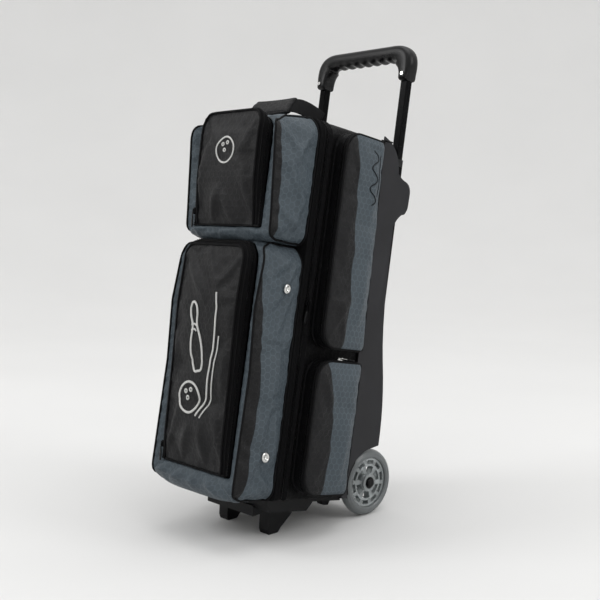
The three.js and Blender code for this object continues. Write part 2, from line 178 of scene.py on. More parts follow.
def hexagons(tree, where, size):
    """0 in the middle of each hexagon and 1 on its edges; size is flat to flat, in metres."""
    scaled = vector(tree, "MULTIPLY", where, (1 / size,) * 3)
    cell = (1.0, math.sqrt(3), 1.0)
    half = tuple(c / 2 for c in cell)

    def from_centre(point):
        """Where a point lies from the middle of its own cell, in the plane."""
        wrapped = vector(tree, "FRACTION", vector(tree, "DIVIDE", point, cell))
        centred = vector(tree, "SUBTRACT", vector(tree, "MULTIPLY", wrapped, cell), half)
        return vector(tree, "MULTIPLY", centred, (1.0, 1.0, 0.0))

    a = from_centre(scaled)
    b = from_centre(vector(tree, "ADD", scaled, half))
    far_a, far_b = (vector(tree, "LENGTH", v, socket="Value") for v in (a, b))
    near_b = maths(tree, "LESS_THAN", far_b, far_a)
    picked = node(tree, "Mix", {0: near_b, 4: a, 5: b}, data_type="VECTOR").outputs[1]
    size_of = vector(tree, "ABSOLUTE", picked)
    across = node(tree, "SeparateXYZ", {0: size_of}).outputs[0]
    slope = (0.5, math.sqrt(3) / 2, 0.0)
    slanted = vector(tree, "DOT_PRODUCT", size_of, slope, socket="Value")
    return times(tree, maths(tree, "MAXIMUM", across, slanted), 2.0)


def waves(tree, where, pitches):
    """A wave along each of two axes, with its own pitch."""
    apart = node(tree, "SeparateXYZ", {0: where})
    return [
        maths(tree, "SINE", times(tree, apart.outputs[axis], 2 * math.pi / pitch))
        for axis, pitch in enumerate(pitches)
    ]


BLACK = rgb(0.0040, 0.0040, 0.0047)
GREY = rgb(0.052, 0.067, 0.079)
HEXAGON, THREADS = 0.0115, 0.0009  # a pressed hexagon and a thread of the weave, in metres


def hex_fabric(name, base, other=None, shine=0.24):
    """Coated nylon with pressed hexagons, in the other colour where the mark "dark" is below 0."""
    made, tree, shader = new_material(
        name, Sheen_Weight=0.012, Sheen_Roughness=0.4, Specular_IOR_Level=shine
    )
    where = node(tree, "UVMap").outputs[0]
    line = ramp(tree, hexagons(tree, where, HEXAGON), 0.8, 0.95)
    cloth = maths(tree, "MULTIPLY", *waves(tree, where, (THREADS, THREADS)))
    place = in_object(tree)
    patches = noise(tree, place, 9.0, 4.0, 0.6)
    grime = noise(tree, place, 60.0, 3.0, 0.6)
    colour = base
    if other is not None:
        mark = node(tree, "Attribute", attribute_name="dark").outputs["Fac"]
        mixed = {0: ramp(tree, mark, 0.35, -0.35), 6: base, 7: other}
        colour = node(tree, "Mix", mixed, data_type="RGBA").outputs[2]
    # painted highlight: the raised hexagon lines are painted lighter, standing in for the shine they catch;
    # patches is random tone
    value = maths(tree, "ADD", ramp(tree, patches, 0.3, 0.7, 0.9, 1.08), times(tree, line, 0.36))
    paint(tree, shader, colour, maths(tree, "ADD", value, times(tree, cloth, 0.06)))
    gloss = maths(tree, "ADD", ramp(tree, grime, 0.3, 0.7, 0.46, 0.6), times(tree, line, -0.1))
    tree.links.new(gloss, shader.inputs["Roughness"])
    fine = bump(tree, shader, cloth, 0.00008, 0.5)
    pressed = bump(tree, shader, line, 0.00035, 0.8, fine)
    ridges = ramp(tree, noise(tree, place, 11.0, 4.0, 0.55), 0.2, 0.8, -1.0, 1.0)
    folds = times(tree, maths(tree, "ABSOLUTE", ridges), 0.45)
    crumple = maths(tree, "ADD", noise(tree, place, 30.0, 5.0, 0.62), folds)
    bump(tree, shader, crumple, 0.0034, 0.6, pressed)
    return made


def ribbed(name, colour, pitch, axis, roughness=0.7, depth=0.0004):
    """Webbing, binding and zip tape: ribs across the mesh's U or V direction."""
    made, tree, shader = new_material(name, roughness, Specular_IOR_Level=0.08)
    pitches = [pitch * 0.7, pitch * 0.7]
    pitches[axis] = pitch
    pair = waves(tree, node(tree, "UVMap").outputs[0], pitches)
    height = maths(tree, "ADD", pair[axis], times(tree, pair[1 - axis], 0.35))
    fuzz = noise(tree, in_object(tree), 260.0, 2.0)
    # painted shade: the colour follows the rib height, darker in the grooves between ribs and lighter on their
    # tops, with random fuzz
    paint(tree, shader, colour, ramp(tree, maths(tree, "ADD", height, fuzz), -1.0, 2.0, 0.7, 1.35))
    bump(tree, shader, height, depth, 0.8)
    return made


def moulded(name, colour, roughness, grain=900.0, depth=0.00012, edge_wear_and_highlight=0.5, **sockets):
    """Moulded plastic: fine grain, uneven gloss, and convex edges painted lighter in patches: partly rubbed wear,
    partly a painted edge highlight.
    """
    made, tree, shader = new_material(name, roughness, **sockets)
    place = in_object(tree)
    broad = noise(tree, place, 14.0, 5.0, 0.65)
    bend = node(tree, "NewGeometry").outputs["Pointiness"]
    # painted highlight: convex edges (high pointiness) are painted lighter in patches, standing in for the light
    # they catch, together with rubbed wear
    worn_and_lit_edges = times(tree, ramp(tree, bend, 0.52, 0.62), ramp(tree, broad, 0.4, 0.65))
    value = maths(tree, "ADD", ramp(tree, broad, 0.3, 0.7, 0.9, 1.12), times(tree, worn_and_lit_edges, edge_wear_and_highlight))
    paint(tree, shader, colour, value)
    rough = ramp(tree, broad, 0.3, 0.7, max(roughness - 0.07, 0.02), roughness + 0.08)
    tree.links.new(rough, shader.inputs["Roughness"])
    bump(tree, shader, noise(tree, place, grain, 2.0), depth, 0.6)
    return made


def clear_rubber(name, colour, roughness, through):
    """Clear wheel plastic: through is the share of the light that it lets through."""
    made, tree, shader = new_material(name, roughness, Transmission_Weight=through, IOR=1.49)
    place = in_object(tree)
    cloud = noise(tree, place, 45.0, 4.0)
    scuff = noise(tree, place, 400.0, 2.0)
    paint(tree, shader, colour, ramp(tree, cloud, 0.3, 0.7, 0.9, 1.05))
    rough = ramp(tree, scuff, 0.35, 0.7, roughness, roughness + 0.05)
    tree.links.new(rough, shader.inputs["Roughness"])
    bump(tree, shader, cloud, 0.0004, 0.2)
    return made


LOOK = {
    "two_tone": hex_fabric("fabric_grey_and_black", GREY, BLACK),
    "black_cloth": hex_fabric("fabric_black", BLACK),
    "dark_cloth": hex_fabric("fabric_shaded", rgb(0.0022, 0.0022, 0.0026), shine=0.07),
    "binding": ribbed("binding_black", rgb(0.006, 0.006, 0.0065), 0.0011, 0, 0.62, 0.0002),
    "webbing": ribbed("webbing_black", rgb(0.009, 0.009, 0.0095), 0.0019, 1, 0.72),
    "tape": ribbed("zip_tape", rgb(0.0045, 0.0045, 0.005), 0.0008, 0, 0.8, 0.0002),
    "thread": ribbed("thread_silver", rgb(0.8, 0.8, 0.78), 0.0012, 0, 0.42, 0.0005),
    "dark_thread": ribbed("thread_dark", rgb(0.018, 0.02, 0.023), 0.0012, 0, 0.5, 0.0005),
    "teeth": moulded(
        "zip_teeth", rgb(0.004, 0.004, 0.0045), 0.38, edge_wear_and_highlight=0.3, Specular_IOR_Level=0.22
    ),
    "shell": moulded(
        "plastic_charcoal", rgb(0.0165, 0.0165, 0.0185), 0.5, 700.0, 0.0003, Specular_IOR_Level=0.2
    ),
    "tray": moulded(
        "plastic_black", rgb(0.005, 0.005, 0.0055), 0.44, 900.0, 0.0002, Specular_IOR_Level=0.15
    ),
    "grip": moulded(
        "plastic_grip", rgb(0.0042, 0.0042, 0.0046), 0.3, 1200.0, 0.0001, 0.7,
        Specular_IOR_Level=0.22,
    ),
    "tube": moulded(
        "tube_black", rgb(0.0022, 0.0022, 0.0025), 0.24, 1500.0, 0.00003, 0.3,
        Specular_IOR_Level=0.05,
    ),
    "steel": moulded("steel", rgb(0.6, 0.6, 0.585), 0.2, 500.0, 0.00003, 0.1, Metallic=1.0),
    "foam": moulded("foam", rgb(0.022, 0.022, 0.024), 0.9, 350.0, 0.0006, 0.2),
    "tyre": clear_rubber("clear_tyre", rgb(0.15, 0.163, 0.167), 0.3, 0.3),
    "core": clear_rubber("clear_core", rgb(0.42, 0.455, 0.46), 0.05, 0.6),
}


# ---- mesh helpers ----
def make_object(name, points, faces, material, uv=None, marks=None, smooth=True):
    """points are in the bag's frame; uv holds one pair for each corner of each face, in metres."""
    mesh = bpy.data.meshes.new(name)
    mesh.from_pydata(to_row(points).tolist(), [], [tuple(int(i) for i in f) for f in faces])
    mesh.materials.append(material)
    if uv is not None:
        layer = mesh.uv_layers.new(name="cloth")
        layer.data.foreach_set("uv", np.asarray(uv, np.float32).ravel())
    for key, values in (marks or {}).items():
        mark = mesh.attributes.new(key, "FLOAT", "POINT")
        mark.data.foreach_set("value", np.asarray(values, np.float32).ravel())
    mesh.polygons.foreach_set("use_smooth", [smooth] * len(mesh.polygons))
    mesh.update()
    made = bpy.data.objects.new(name, mesh)
    SCENE.collection.objects.link(made)
    return made


class Surface:
    """A grid of points with lengths u along its columns and v along its rows, in millimetres."""

    def __init__(self, points, u, v, closed=False):
        self.points = np.asarray(points, float)
        self.u, self.closed = np.asarray(u, float), closed
        v = np.asarray(v, float)
        self.v = v if v.ndim == 2 else np.repeat(v[:, None], self.points.shape[1], 1)

    def build(self, name, material, marks=None, flip=False, smooth=True):
        rows, cols = self.points.shape[:2]
        wide = cols if self.closed else cols - 1
        i, j = np.meshgrid(np.arange(rows - 1), np.arange(wide), indexing="ij")
        corners = [(i, j), (i, j + 1), (i + 1, j + 1), (i + 1, j)]
        if flip:
            corners = corners[::-1]
        faces = np.stack([r * cols + c % cols for r, c in corners], -1).reshape(-1, 4)
        uv = np.stack(
            [np.stack([self.u[c], self.v[r, c % cols]], -1) for r, c in corners], -2
        ).reshape(-1, 2)
        self.object = make_object(
            name, self.points.reshape(-1, 3), faces, material, uv * 0.001, marks, smooth
        )
        return self.object

    def settle(self):
        """Reads the points back after the cloth has moved."""
        count = len(self.object.data.vertices)
        flat = np.empty(count * 3)
        self.object.data.vertices.foreach_get("co", flat)
        self.points = to_bag(flat.reshape(-1, 3)).reshape(self.points.shape)

    def at(self, u, v):
        """The point at lengths u and v."""
        rows, cols = self.points.shape[:2]
        j = float(np.interp(u, self.u, np.arange(len(self.u))))
        j0 = int(j)
        b = j - j0
        j0, j1 = j0 % cols, (j0 + 1) % cols if self.closed else min(j0 + 1, cols - 1)
        i = float(np.interp(v, self.v[:, j0] * (1 - b) + self.v[:, j1] * b, np.arange(rows)))
        i0 = min(int(i), rows - 2)
        a = i - i0
        p = self.points
        low = p[i0, j0] * (1 - b) + p[i0, j1] * b
        high = p[i0 + 1, j0] * (1 - b) + p[i0 + 1, j1] * b
        return low * (1 - a) + high * a


def unit(vectors):
    """The directions of one vector or of many."""
    size = np.linalg.norm(vectors, axis=-1, keepdims=True)
    return vectors / np.maximum(size, 1e-9)


def run_along(path):
    """Distances along an open path, from 0."""
    steps = np.linalg.norm(np.diff(path, axis=0), axis=1)
    return np.concatenate([[0], np.cumsum(steps)])


def circle_steps(count):
    """Angles round a whole turn, without the last."""
    return np.arange(count) / count * 2 * math.pi


def outline(left, bottom, right, top, radii, counts):
    """A closed rounded rectangle from the middle of its bottom, anticlockwise.

    radii go bottom left, bottom right, top right, top left. counts are the steps on half
    the bottom, on a corner, on a side and on the top.
    """
    bl, br, tr, tl = radii
    low, corner, side, high = counts
    middle = (left + right) / 2

    def line(a, b, steps):
        t = np.arange(steps)[:, None] / steps
        return np.array(a) * (1 - t) + np.array(b) * t

    def arc(x, y, r, start):
        angle = math.radians(start) + np.arange(corner) / corner * math.pi / 2
        return np.stack([x + r * np.cos(angle), y + r * np.sin(angle)], -1)

    return np.concatenate([
        line((middle, bottom), (right - br, bottom), low),
        arc(right - br, bottom + br, br, -90),
        line((right, bottom + br), (right, top - tr), side),
        arc(right - tr, top - tr, tr, 0),
        line((right - tr, top), (left + tl, top), high),
        arc(left + tl, top - tl, tl, 90),
        line((left, top - tl), (left, bottom + bl), side),
        arc(left + bl, bottom + bl, bl, 180),
        line((left + bl, bottom), (middle, bottom), low),
    ])


def lengths(loop):
    """Distances along a closed loop, with the whole length last."""
    return run_along(np.concatenate([loop, loop[:1]]))


def outwards(loop):
    """The outward direction at each point of an anticlockwise loop."""
    along = unit(np.roll(loop, -1, 0) - np.roll(loop, 1, 0))
    return np.stack([along[:, 1], -along[:, 0]], -1)


def inset(points, left, bottom, right, top, radius):
    """How far inside a rounded rectangle each point of the plane is."""
    points = np.asarray(points, float)
    centre = np.array([(left + right) / 2, (bottom + top) / 2])
    size = np.array([(right - left) / 2, (top - bottom) / 2]) - radius
    q = np.abs(points - centre) - size
    outside = np.linalg.norm(np.maximum(q, 0), axis=-1)
    return radius - outside - np.minimum(np.max(q, -1), 0)


def fillet(distance, radius):
    """The drop of a rounded edge at a distance in from it."""
    t = np.clip(radius - distance, 0, radius)
    return radius - np.sqrt(np.maximum(radius**2 - t**2, 0))


FOLD_HEIGHT = 1.7  # the share by which every fold in the tables below is raised


def creases(a, b, lines):
    """Soft folds in a cloth: each line has two ends, a width and a height."""
    total = np.zeros(np.broadcast(a, b).shape)
    for (a0, b0), (a1, b1), width, height in lines:
        length = math.dist((a0, b0), (a1, b1))
        da, db = (a1 - a0) / length, (b1 - b0) / length
        along = np.clip(((a - a0) * da + (b - b0) * db) / length, 0, 1)
        off = (b - b0) * da - (a - a0) * db
        fade = np.sin(math.pi * along) ** 0.7
        spread = width * (0.6 + 0.8 * along)
        total += FOLD_HEIGHT * height * fade * np.exp(-((off / spread) ** 2))
    return total


def facing_front(a, b, depth):
    """Outline coordinates on the bag's front: x, z and the depth as y."""
    return np.stack([a, np.broadcast_to(depth, np.shape(a)), b], -1)


def facing_side(side):
    """Outline coordinates on the bag's side: y, z and the height off its middle as x."""
    return lambda a, b, depth: np.stack([side * np.broadcast_to(depth, np.shape(a)), a, b], -1)


def loft(name, loop, rows, place, material, flip=False, caps=False, closed_rows=False):
    """Joins copies of a loop. rows are pairs of distance out from the loop, and depth."""
    rows = list(rows) + ([rows[0]] if closed_rows else [])
    out = outwards(loop)
    points = [place(*(loop + out * off).T, depth) for off, depth in rows]
    surface = Surface(points, lengths(loop), run_along(np.array(rows, float)), True)
    made = surface.build(name, material, flip=flip)
    if closed_rows or caps:
        finish_mesh(made, caps)
    return surface


def finish_mesh(obj, caps=False):
    """Closes a loop's seam and, with caps, its open ends."""
    work = bmesh.new()
    work.from_mesh(obj.data)
    bmesh.ops.remove_doubles(work, verts=work.verts, dist=1e-6)
    if caps:
        bmesh.ops.holes_fill(work, edges=[e for e in work.edges if e.is_boundary], sides=0)
    work.to_mesh(obj.data)
    work.free()


def round_edges(obj, width):
    bevel = obj.modifiers.new("edges", "BEVEL")
    bevel.width, bevel.segments = width, 2
    bevel.limit_method, bevel.angle_limit = "ANGLE", math.radians(32)
    bevel.harden_normals = True
    obj.data.polygons.foreach_set("use_smooth", [True] * len(obj.data.polygons))


def thicken(obj, thickness):
    made = obj.modifiers.new("thickness", "SOLIDIFY")
    made.thickness, made.offset = thickness * 0.001, -1


def subdivided(obj):
    made = obj.modifiers.new("rounding", "SUBSURF")
    made.levels = made.render_levels = 1


def tube(name, path, radius, material, closed=False, sides=8, flat=1.0, up=(0, 0, 1)):
    """A round cord swept along points of the bag's frame; flat squeezes it along up."""
    path = np.asarray(path, float)
    ends = (np.roll(path, -1, 0) - np.roll(path, 1, 0)) if closed else np.gradient(path, axis=0)
    along = unit(ends)
    across = unit(np.cross(along, np.broadcast_to(np.asarray(up, float), path.shape)))
    over = np.cross(across, along)
    turn = circle_steps(sides)[:, None]
    ring = across[:, None] * np.cos(turn) + over[:, None] * (flat * np.sin(turn))
    points = path[:, None] + ring * radius
    if closed:
        points = np.concatenate([points, points[:1]])
    u = np.arange(sides + 1) / sides * 2 * math.pi * radius
    surface = Surface(points, u, lengths(path) if closed else run_along(path), True)
    made = surface.build(name, material, flip=True)
    finish_mesh(made, caps=not closed)
    return made


def joined(name, objects):
    """Makes one piece of several meshes."""
    bpy.ops.object.select_all(action="DESELECT")
    for obj in objects:
        obj.select_set(True)
    bpy.context.view_layer.objects.active = objects[0]
    bpy.ops.object.join()
    objects[0].name = name
    return objects[0]


TOOTH_PITCH = 2.6
TOOTH = np.array((1.5, 2.6, 1.3)) / 2  # half a tooth along the zip, across it and out
TOOTH_PROFILE = [(-1, -1), (1, -1), (1, 0.3), (0.5, 1), (-0.5, 1), (-1, 0.3)]


def teeth(name, path, out):
    """Zip teeth along a path: each a small block, long across the zip."""
    path, out = np.asarray(path, float), np.asarray(out, float)
    run = run_along(path)
    stations = np.arange(TOOTH_PITCH / 2, run[-1], TOOTH_PITCH)

    def read(values, places):
        return np.stack([np.interp(places, run, values[:, k]) for k in range(3)], -1)

    centre, normal = read(path, stations), read(out, stations)
    along = unit(read(path, stations + 0.5) - read(path, stations - 0.5))
    across = np.cross(normal, along)
    points, faces = [], []
    k = len(TOOTH_PROFILE)
    for n in range(len(stations)):
        lean = 0.45 * TOOTH[1] * (1 if n % 2 else -1)
        base = len(points)
        for end in (-1, 1):
            for a, h in TOOTH_PROFILE:
                points.append(
                    centre[n]
                    + along[n] * a * TOOTH[0]
                    + normal[n] * (h + 1) * TOOTH[2]
                    + across[n] * (end * TOOTH[1] + lean)
                )
        faces.append([base + i for i in range(k)][::-1])
        faces.append([base + k + i for i in range(k)])
        for i in range(k):
            j = (i + 1) % k
            faces.append([base + i, base + j, base + k + j, base + k + i])
    uv = np.zeros((sum(len(f) for f in faces), 2))
    return make_object(name, points, faces, LOOK["teeth"], uv, smooth=False)


# ---- cloth ----
CLOTH = []
CLOTH_FRAMES = 24
CLOTH_SETTINGS = {
    "vertex_group_mass": "seams",
    "pin_stiffness": 1.0,
    "use_pressure": True,
    "mass": 0.25,
    "tension_stiffness": 22,
    "compression_stiffness": 22,
    "shear_stiffness": 12,
    "air_damping": 3,
    "quality": 7,
}


def swell(surface, pins, pressure, grow, cap, bend):
    """Queues a surface for the cloth run: pins is 1 where a seam holds it."""
    CLOTH.append((surface, np.clip(np.ravel(pins), 0, 1), pressure, grow, cap, bend))


def run_cloth():
    """Swells every queued surface between its seams and keeps the result in its mesh."""
    for surface, pins, pressure, grow, _, bend in CLOTH:
        obj = surface.object
        group = obj.vertex_groups.new(name="seams")
        for index, weight in enumerate(pins):
            if weight > 0:
                group.add([index], float(weight), "REPLACE")
        cloth = obj.modifiers.new("cloth", "CLOTH").settings
        for key, value in CLOTH_SETTINGS.items():
            setattr(cloth, key, value)
        cloth.uniform_pressure_force = pressure
        cloth.shrink_min = -grow
        cloth.bending_stiffness = bend
        cloth.effector_weights.gravity = 0.0
        obj.modifiers["cloth"].collision_settings.use_collision = False
    for step in range(1, CLOTH_FRAMES + 1):
        SCENE.frame_set(step)
    graph = bpy.context.evaluated_depsgraph_get()
    for surface, *_, cap, _ in CLOTH:
        obj = surface.object
        shaped = obj.evaluated_get(graph).data
        after = np.empty(len(shaped.vertices) * 3)
        shaped.vertices.foreach_get("co", after)
        before = np.empty_like(after)
        obj.data.vertices.foreach_get("co", before)
        move = (after - before).reshape(-1, 3)
        size = np.linalg.norm(move, axis=1)
        limit = cap * 0.001
        soft = limit * np.tanh(size / limit)
        move *= (soft / np.maximum(size, 1e-9))[:, None]
        obj.data.vertices.foreach_set("co", (before.reshape(-1, 3) + move).ravel())
        obj.modifiers.remove(obj.modifiers["cloth"])
        obj.data.update()
        surface.settle()
    CLOTH.clear()
    SCENE.frame_set(1)


# ---- camera, light and floor ----
LENS, SENSOR = 57.87, 36  # in millimetres
EYE_AHEAD, EYE_SIDE, EYE_HEIGHT = 1.3477, 1.3237, 0.5947  # from the axle, in metres
EYE_DOWN, EYE_TURN = 0.0994, 0.8032  # in radians


def camera():
    made = bpy.data.cameras.new("camera")
    made.lens, made.sensor_width = LENS, SENSOR
    eye = bpy.data.objects.new("camera", made)
    eye.location = (EYE_SIDE, AXLE.y - EYE_AHEAD, EYE_HEIGHT)
    eye.rotation_euler = (math.radians(90) - EYE_DOWN, 0, EYE_TURN)
    SCENE.collection.objects.link(eye)
    SCENE.camera = eye


def lamp(name, place, target, size, watts):
    light = bpy.data.lights.new(name, "AREA")
    light.shape, light.size, light.size_y = "RECTANGLE", *size
    light.energy = watts
    made = bpy.data.objects.new(name, light)
    made.location = place
    made.rotation_euler = (Vector(target) - Vector(place)).to_track_quat("-Z", "Y").to_euler()
    SCENE.collection.objects.link(made)


def studio():
    """A pale bowl: a flat floor that curves up far away, so no horizon shows."""
    flat, rise, steps, count = 2.6, 4.0, 18, 72
    profile = [(0.6, 0.0), (1.4, 0.0)]
    for k in range(steps + 1):
        a = k / steps * math.pi / 2
        profile.append((flat + rise * math.sin(a), rise * (1 - math.cos(a))))
    turn = circle_steps(count)
    round_floor = np.stack([np.cos(turn), np.sin(turn)], -1)
    rings = [np.insert(r * round_floor, 2, z, axis=1) for r, z in profile]
    points = np.concatenate([np.zeros((1, 3)), *rings])
    faces = [[0, 1 + k, 1 + (k + 1) % count] for k in range(count)]
    for ring in range(len(rings) - 1):
        a, b = 1 + ring * count, 1 + (ring + 1) * count
        for k in range(count):
            after = (k + 1) % count
            faces.append([a + k, b + k, b + after, a + after])
    material, tree, shader = new_material("studio_floor", 0.9, Specular_IOR_Level=0.1)
    place = in_object(tree)
    tone = ramp(tree, noise(tree, place, 1.5, 2.0), 0.3, 0.7, 0.985, 1.01)
    flat_place = vector(tree, "MULTIPLY", place, (1.0, 1.0, 0.0))
    away = vector(tree, "LENGTH", flat_place, socket="Value")
    # painted light: the floor and its rising backdrop are painted up to 15 percent brighter further from the
    # middle, where the bag stands, standing in for the lighter lit far floor
    tone = times(tree, tone, ramp(tree, away, 0.5, 2.8, 1.0, 1.15))
    paint(tree, shader, rgb(0.7, 0.699, 0.695), tone)
    make_object("floor", to_bag(points), faces, material)
    world = bpy.data.worlds.new("world")
    world.use_nodes = True
    sky = world.node_tree.nodes["Background"].inputs
    sky[0].default_value, sky[1].default_value = (1.0, 0.998, 0.993, 1), 0.86
    SCENE.world = world
    lamp("key", (-1.6, -2.3, 2.6), (0, 0, 0.45), (1.2, 1.2), 32)
    lamp("side", (2.9, 1.2, 2.2), (0, 0, 0.45), (1.2, 1.8), 28)
    lamp("top", (0.3, 0.2, 3.0), (0, 0, 0.3), (2.0, 2.0), 26)
    SCENE.view_settings.view_transform = "Standard"


camera()
studio()


# ---- rigid parts that keep their CAD shape ----
CAD_LOOKS = {  # for each slot, the material and the radius of its rounded edges in metres
    "shell_plastic": ("shell", 0.0011),
    "tray_plastic": ("tray", 0.0016),
    "grip_plastic": ("grip", 0.0005),
    "black_tube": ("tube", 0.0006),
    "steel": ("steel", 0.0003),
    "wheel_core": ("core", 0.0004),
    "wheel_tyre": ("tyre", 0.001),
    "foam": ("foam", 0.003),
}

for part in frame["record"]["subparts"]:
    if part["material_slot"] in CAD_LOOKS:
        look, radius = CAD_LOOKS[part["material_slot"]]
        if part["node"].startswith("bearing"):
            look = "tray"  # the photo shows a dark hub
        solid = frame["nodes"][part["node"]]
        solid.data.materials.clear()
        solid.data.materials.append(LOOK[look])
        round_edges(solid, radius)


# ---- ball compartment and door ----
LOW_CORNER, HIGH_CORNER = 8, 34


def front_outline(step=9.0):
    """The outline of the bag's front, shared by the compartment and the door."""
    low, high = LOW_CORNER, HIGH_CORNER
    counts = (
        round((HALF - low) / step),
        round(high * 1.57 / step * 1.6),
        round((TOP - BOTTOM - low - high) / step),
        round(2 * (HALF - high) / step),
    )
    return outline(-HALF, BOTTOM, HALF, TOP, (low, low, high, high), counts)


def ridge(depth, radius, steps=5):
    """The rows of a round bead that stands out from a wall."""
    angles = [math.pi * k / steps for k in range(steps + 1)]
    return [(radius * math.sin(a), depth - radius * math.cos(a)) for a in angles]


def compartment():
    loop = front_outline()
    rows = [(-3, MAIN_REAR), (0, MAIN_REAR)]
    rows += [(0.8 * math.sin(math.pi * k / 12), MAIN_REAR - 15 * k) for k in range(1, 11)]
    rows += ridge(MAIN_FRONT + 9, 2.0)[::-1]
    rows += [(0, MAIN_FRONT + 1), (-3, MAIN_FRONT + 1), (-3, MAIN_REAR - 60)]
    wall = loft("compartment_wall", loop, rows, facing_front, LOOK["dark_cloth"], closed_rows=True)
    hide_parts("main_wall")
    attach(wall.object, "bag")
    rows = [(-6, MAIN_FRONT), (-0.6, MAIN_FRONT), (-0.2, DOOR_REAR + 2)]
    rows += [(-1, DOOR_REAR + 0.6), (-6, DOOR_REAR + 0.6)]
    tape = loft("compartment_zip_tape", loop, rows, facing_front, LOOK["tape"], closed_rows=True)
    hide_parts("main_zip")
    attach(tape.object, "bag")


def door():
    loop = front_outline()
    rows = [(-3, DOOR_FRONT + 4), (-3, DOOR_REAR), (-0.5, DOOR_REAR), (-0.2, DOOR_REAR - 3)]
    for depth, radius in ((-236, 1.4), (-240.5, 1.4), (DOOR_FRONT + 2.4, 2.2)):
        rows += ridge(depth, radius)[::-1]
    rows += [(-1, DOOR_FRONT)]
    panel = loft("door_body", loop, rows, facing_front, LOOK["tape"], caps=True)
    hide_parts("door_panel")
    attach(panel.object, "front_door")
    out = outwards(loop)
    path = facing_front(*(loop - out * 0.4).T, DOOR_REAR + 1.6)
    normal = facing_front(*out.T, 0)
    start = len(loop) // 16
    # the hinged side has no teeth: the door's rim would sweep through them
    hinged = np.where((loop[:, 0] < HIGH_CORNER - HALF) & (loop[:, 1] > TOP - 36))[0][0]
    chain = teeth("door_zip_teeth", path[start:hinged], normal[start:hinged])
    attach(chain, "bag")


def hinge_cloth():
    """A strip of cloth along the door's hinge, held by the bag behind and the door in front."""
    inner, half, thin, middle = 4 - HALF, 8, 0.4, 300
    wide = np.linspace(-half, half, 13)
    section = [(w, -thin) for w in wide] + [(w, thin) for w in wide[::-1]]
    path = [(inner, DOOR_REAR, z) for z in np.linspace(BOTTOM + 3, TOP - 36, 12)]
    made = sweep("door_hinge_cloth", path, (0, -1, 0), section, LOOK["tape"])
    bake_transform(made)


# ---- front pockets ----
TOP_BORDER = 3
MOUTH_CORNER = 36
TAPE = 15  # the width of the zip tape round a front panel
CAP_ROUND = 20
PANEL_ROUND = 26

# Folds, as two ends, a width and a height: on the sides in y and z, on the front in x and z.
UPPER["side_folds"] = (
    ((-250, 640), (-318, 545), 8, 4.0),
    ((-330, 628), (-262, 520), 9, 3.5),
    ((-250, 470), (-322, 560), 9, 3.0),
    ((-256, 440), (-330, 480), 8, 4.0),
    ((-285, 436), (-270, 520), 7, 3.0),
)
UPPER["panel_folds"] = (
    ((-30, 440), (-12, 512), 8, 6.0),
    ((30, 440), (-4, 500), 9, 4.0),
    ((-78, 470), (-48, 600), 9, 3.0),
    ((72, 455), (42, 560), 10, 3.5),
    ((-62, 628), (-8, 560), 9, 2.5),
    ((66, 625), (30, 540), 10, 2.5),
)
UPPER["border_folds"] = (
    ((-96, 430), (-50, 441), 6, 4.0),
    ((-20, 428), (40, 441), 6, 4.0),
    ((90, 428), (60, 442), 6, 4.0),
)
LOWER["side_folds"] = (
    ((-250, 412), (-330, 352), 7, 5.0),
    ((-250, 408), (-312, 300), 7, 5.0),
    ((-249, 402), (-288, 262), 7, 4.5),
    ((-250, 395), (-262, 230), 7, 4.0),
    ((-300, 40), (-284, 240), 12, 4.0),
    ((-262, 10), (-272, 150), 9, 3.5),
    ((-330, -20), (-300, 60), 9, 4.0),
    ((-256, -22), (-300, 30), 8, 4.0),
)
LOWER["panel_folds"] = (
    ((-84, 400), (10, 300), 9, 4.5),
    ((-20, 405), (52, 300), 10, 3.5),
    ((84, 398), (30, 330), 9, 3.0),
    ((-80, 20), (-36, 120), 9, 3.5),
    ((-30, 16), (-4, 92), 9, 4.5),
    ((36, 16), (18, 100), 9, 3.5),
    ((80, 20), (52, 130), 9, 3.0),
    ((62, 130), (68, 300), 9, 2.5),
    ((-78, 150), (-70, 300), 9, 2.0),
)
LOWER["border_folds"] = (
    ((-108, -20), (-66, 8), 9, 7.0),
    ((-60, -26), (-20, 6), 9, 7.0),
    ((0, -26), (14, 8), 9, 7.0),
    ((70, -26), (42, 8), 9, 7.0),
    ((106, -20), (84, 20), 8, 5.0),
)
COVER_FOLDS = {
    "upper": (
        ((-128, 290), (-122, 470), 11, 3.0),
        ((-124, 420), (-130, 610), 10, 2.5),
        ((-196, 268), (-160, 350), 7, 3.5),
        ((-158, 254), (-176, 340), 7, 3.0),
        ((-196, 622), (-160, 540), 8, 3.0),
        ((-186, 380), (-178, 520), 9, 2.0),
    ),
    "lower": (
        ((-196, 4), (-160, 80), 8, 3.5),
        ((-128, 0), (-124, 140), 10, 3.0),
        ((-196, 208), (-166, 140), 8, 3.0),
    ),
}


def drooping(pocket, points, share=1.0):
    """Lets the top of a pocket slope down towards its front."""
    forward = np.clip((-points[..., 1] - 258) / 75, 0, 1)
    high = np.clip((points[..., 2] - pocket["top"] + 95) / 95, 0, 1) ** 1.5
    points = points.copy()
    points[..., 2] -= pocket["droop"] * forward * high * share
    return points


def ends_round(pocket, z):
    return fillet(pocket["top"] - z, CAP_ROUND) + fillet(z - pocket["bottom"], CAP_ROUND)


def front_face(pocket, x, z):
    """The depth of the fabric between the pocket's rim and its zipped mouth."""
    wide = pocket["mouth_half"]
    t = np.clip((pocket["half"] - np.abs(x)) / (pocket["half"] - wide), 0, 1)
    t = t * t * (3 - 2 * t)
    rim = np.interp(z, *pocket["rim"])
    low = pocket["bottom"] + pocket["lift"]
    below = np.clip((low + 10 - z) / 10, 0, 1) * np.clip((wide - np.abs(x)) / TAPE, 0, 1)
    seam = pocket["mouth"] * (1 - below) + (pocket["panel"][1][0] + 1.5) * below
    belly = 5 * np.sin(math.pi * np.clip((z - pocket["bottom"]) / pocket["lift"], 0, 1)) * t
    return rim * (1 - t) + seam * t - belly + ends_round(pocket, z)


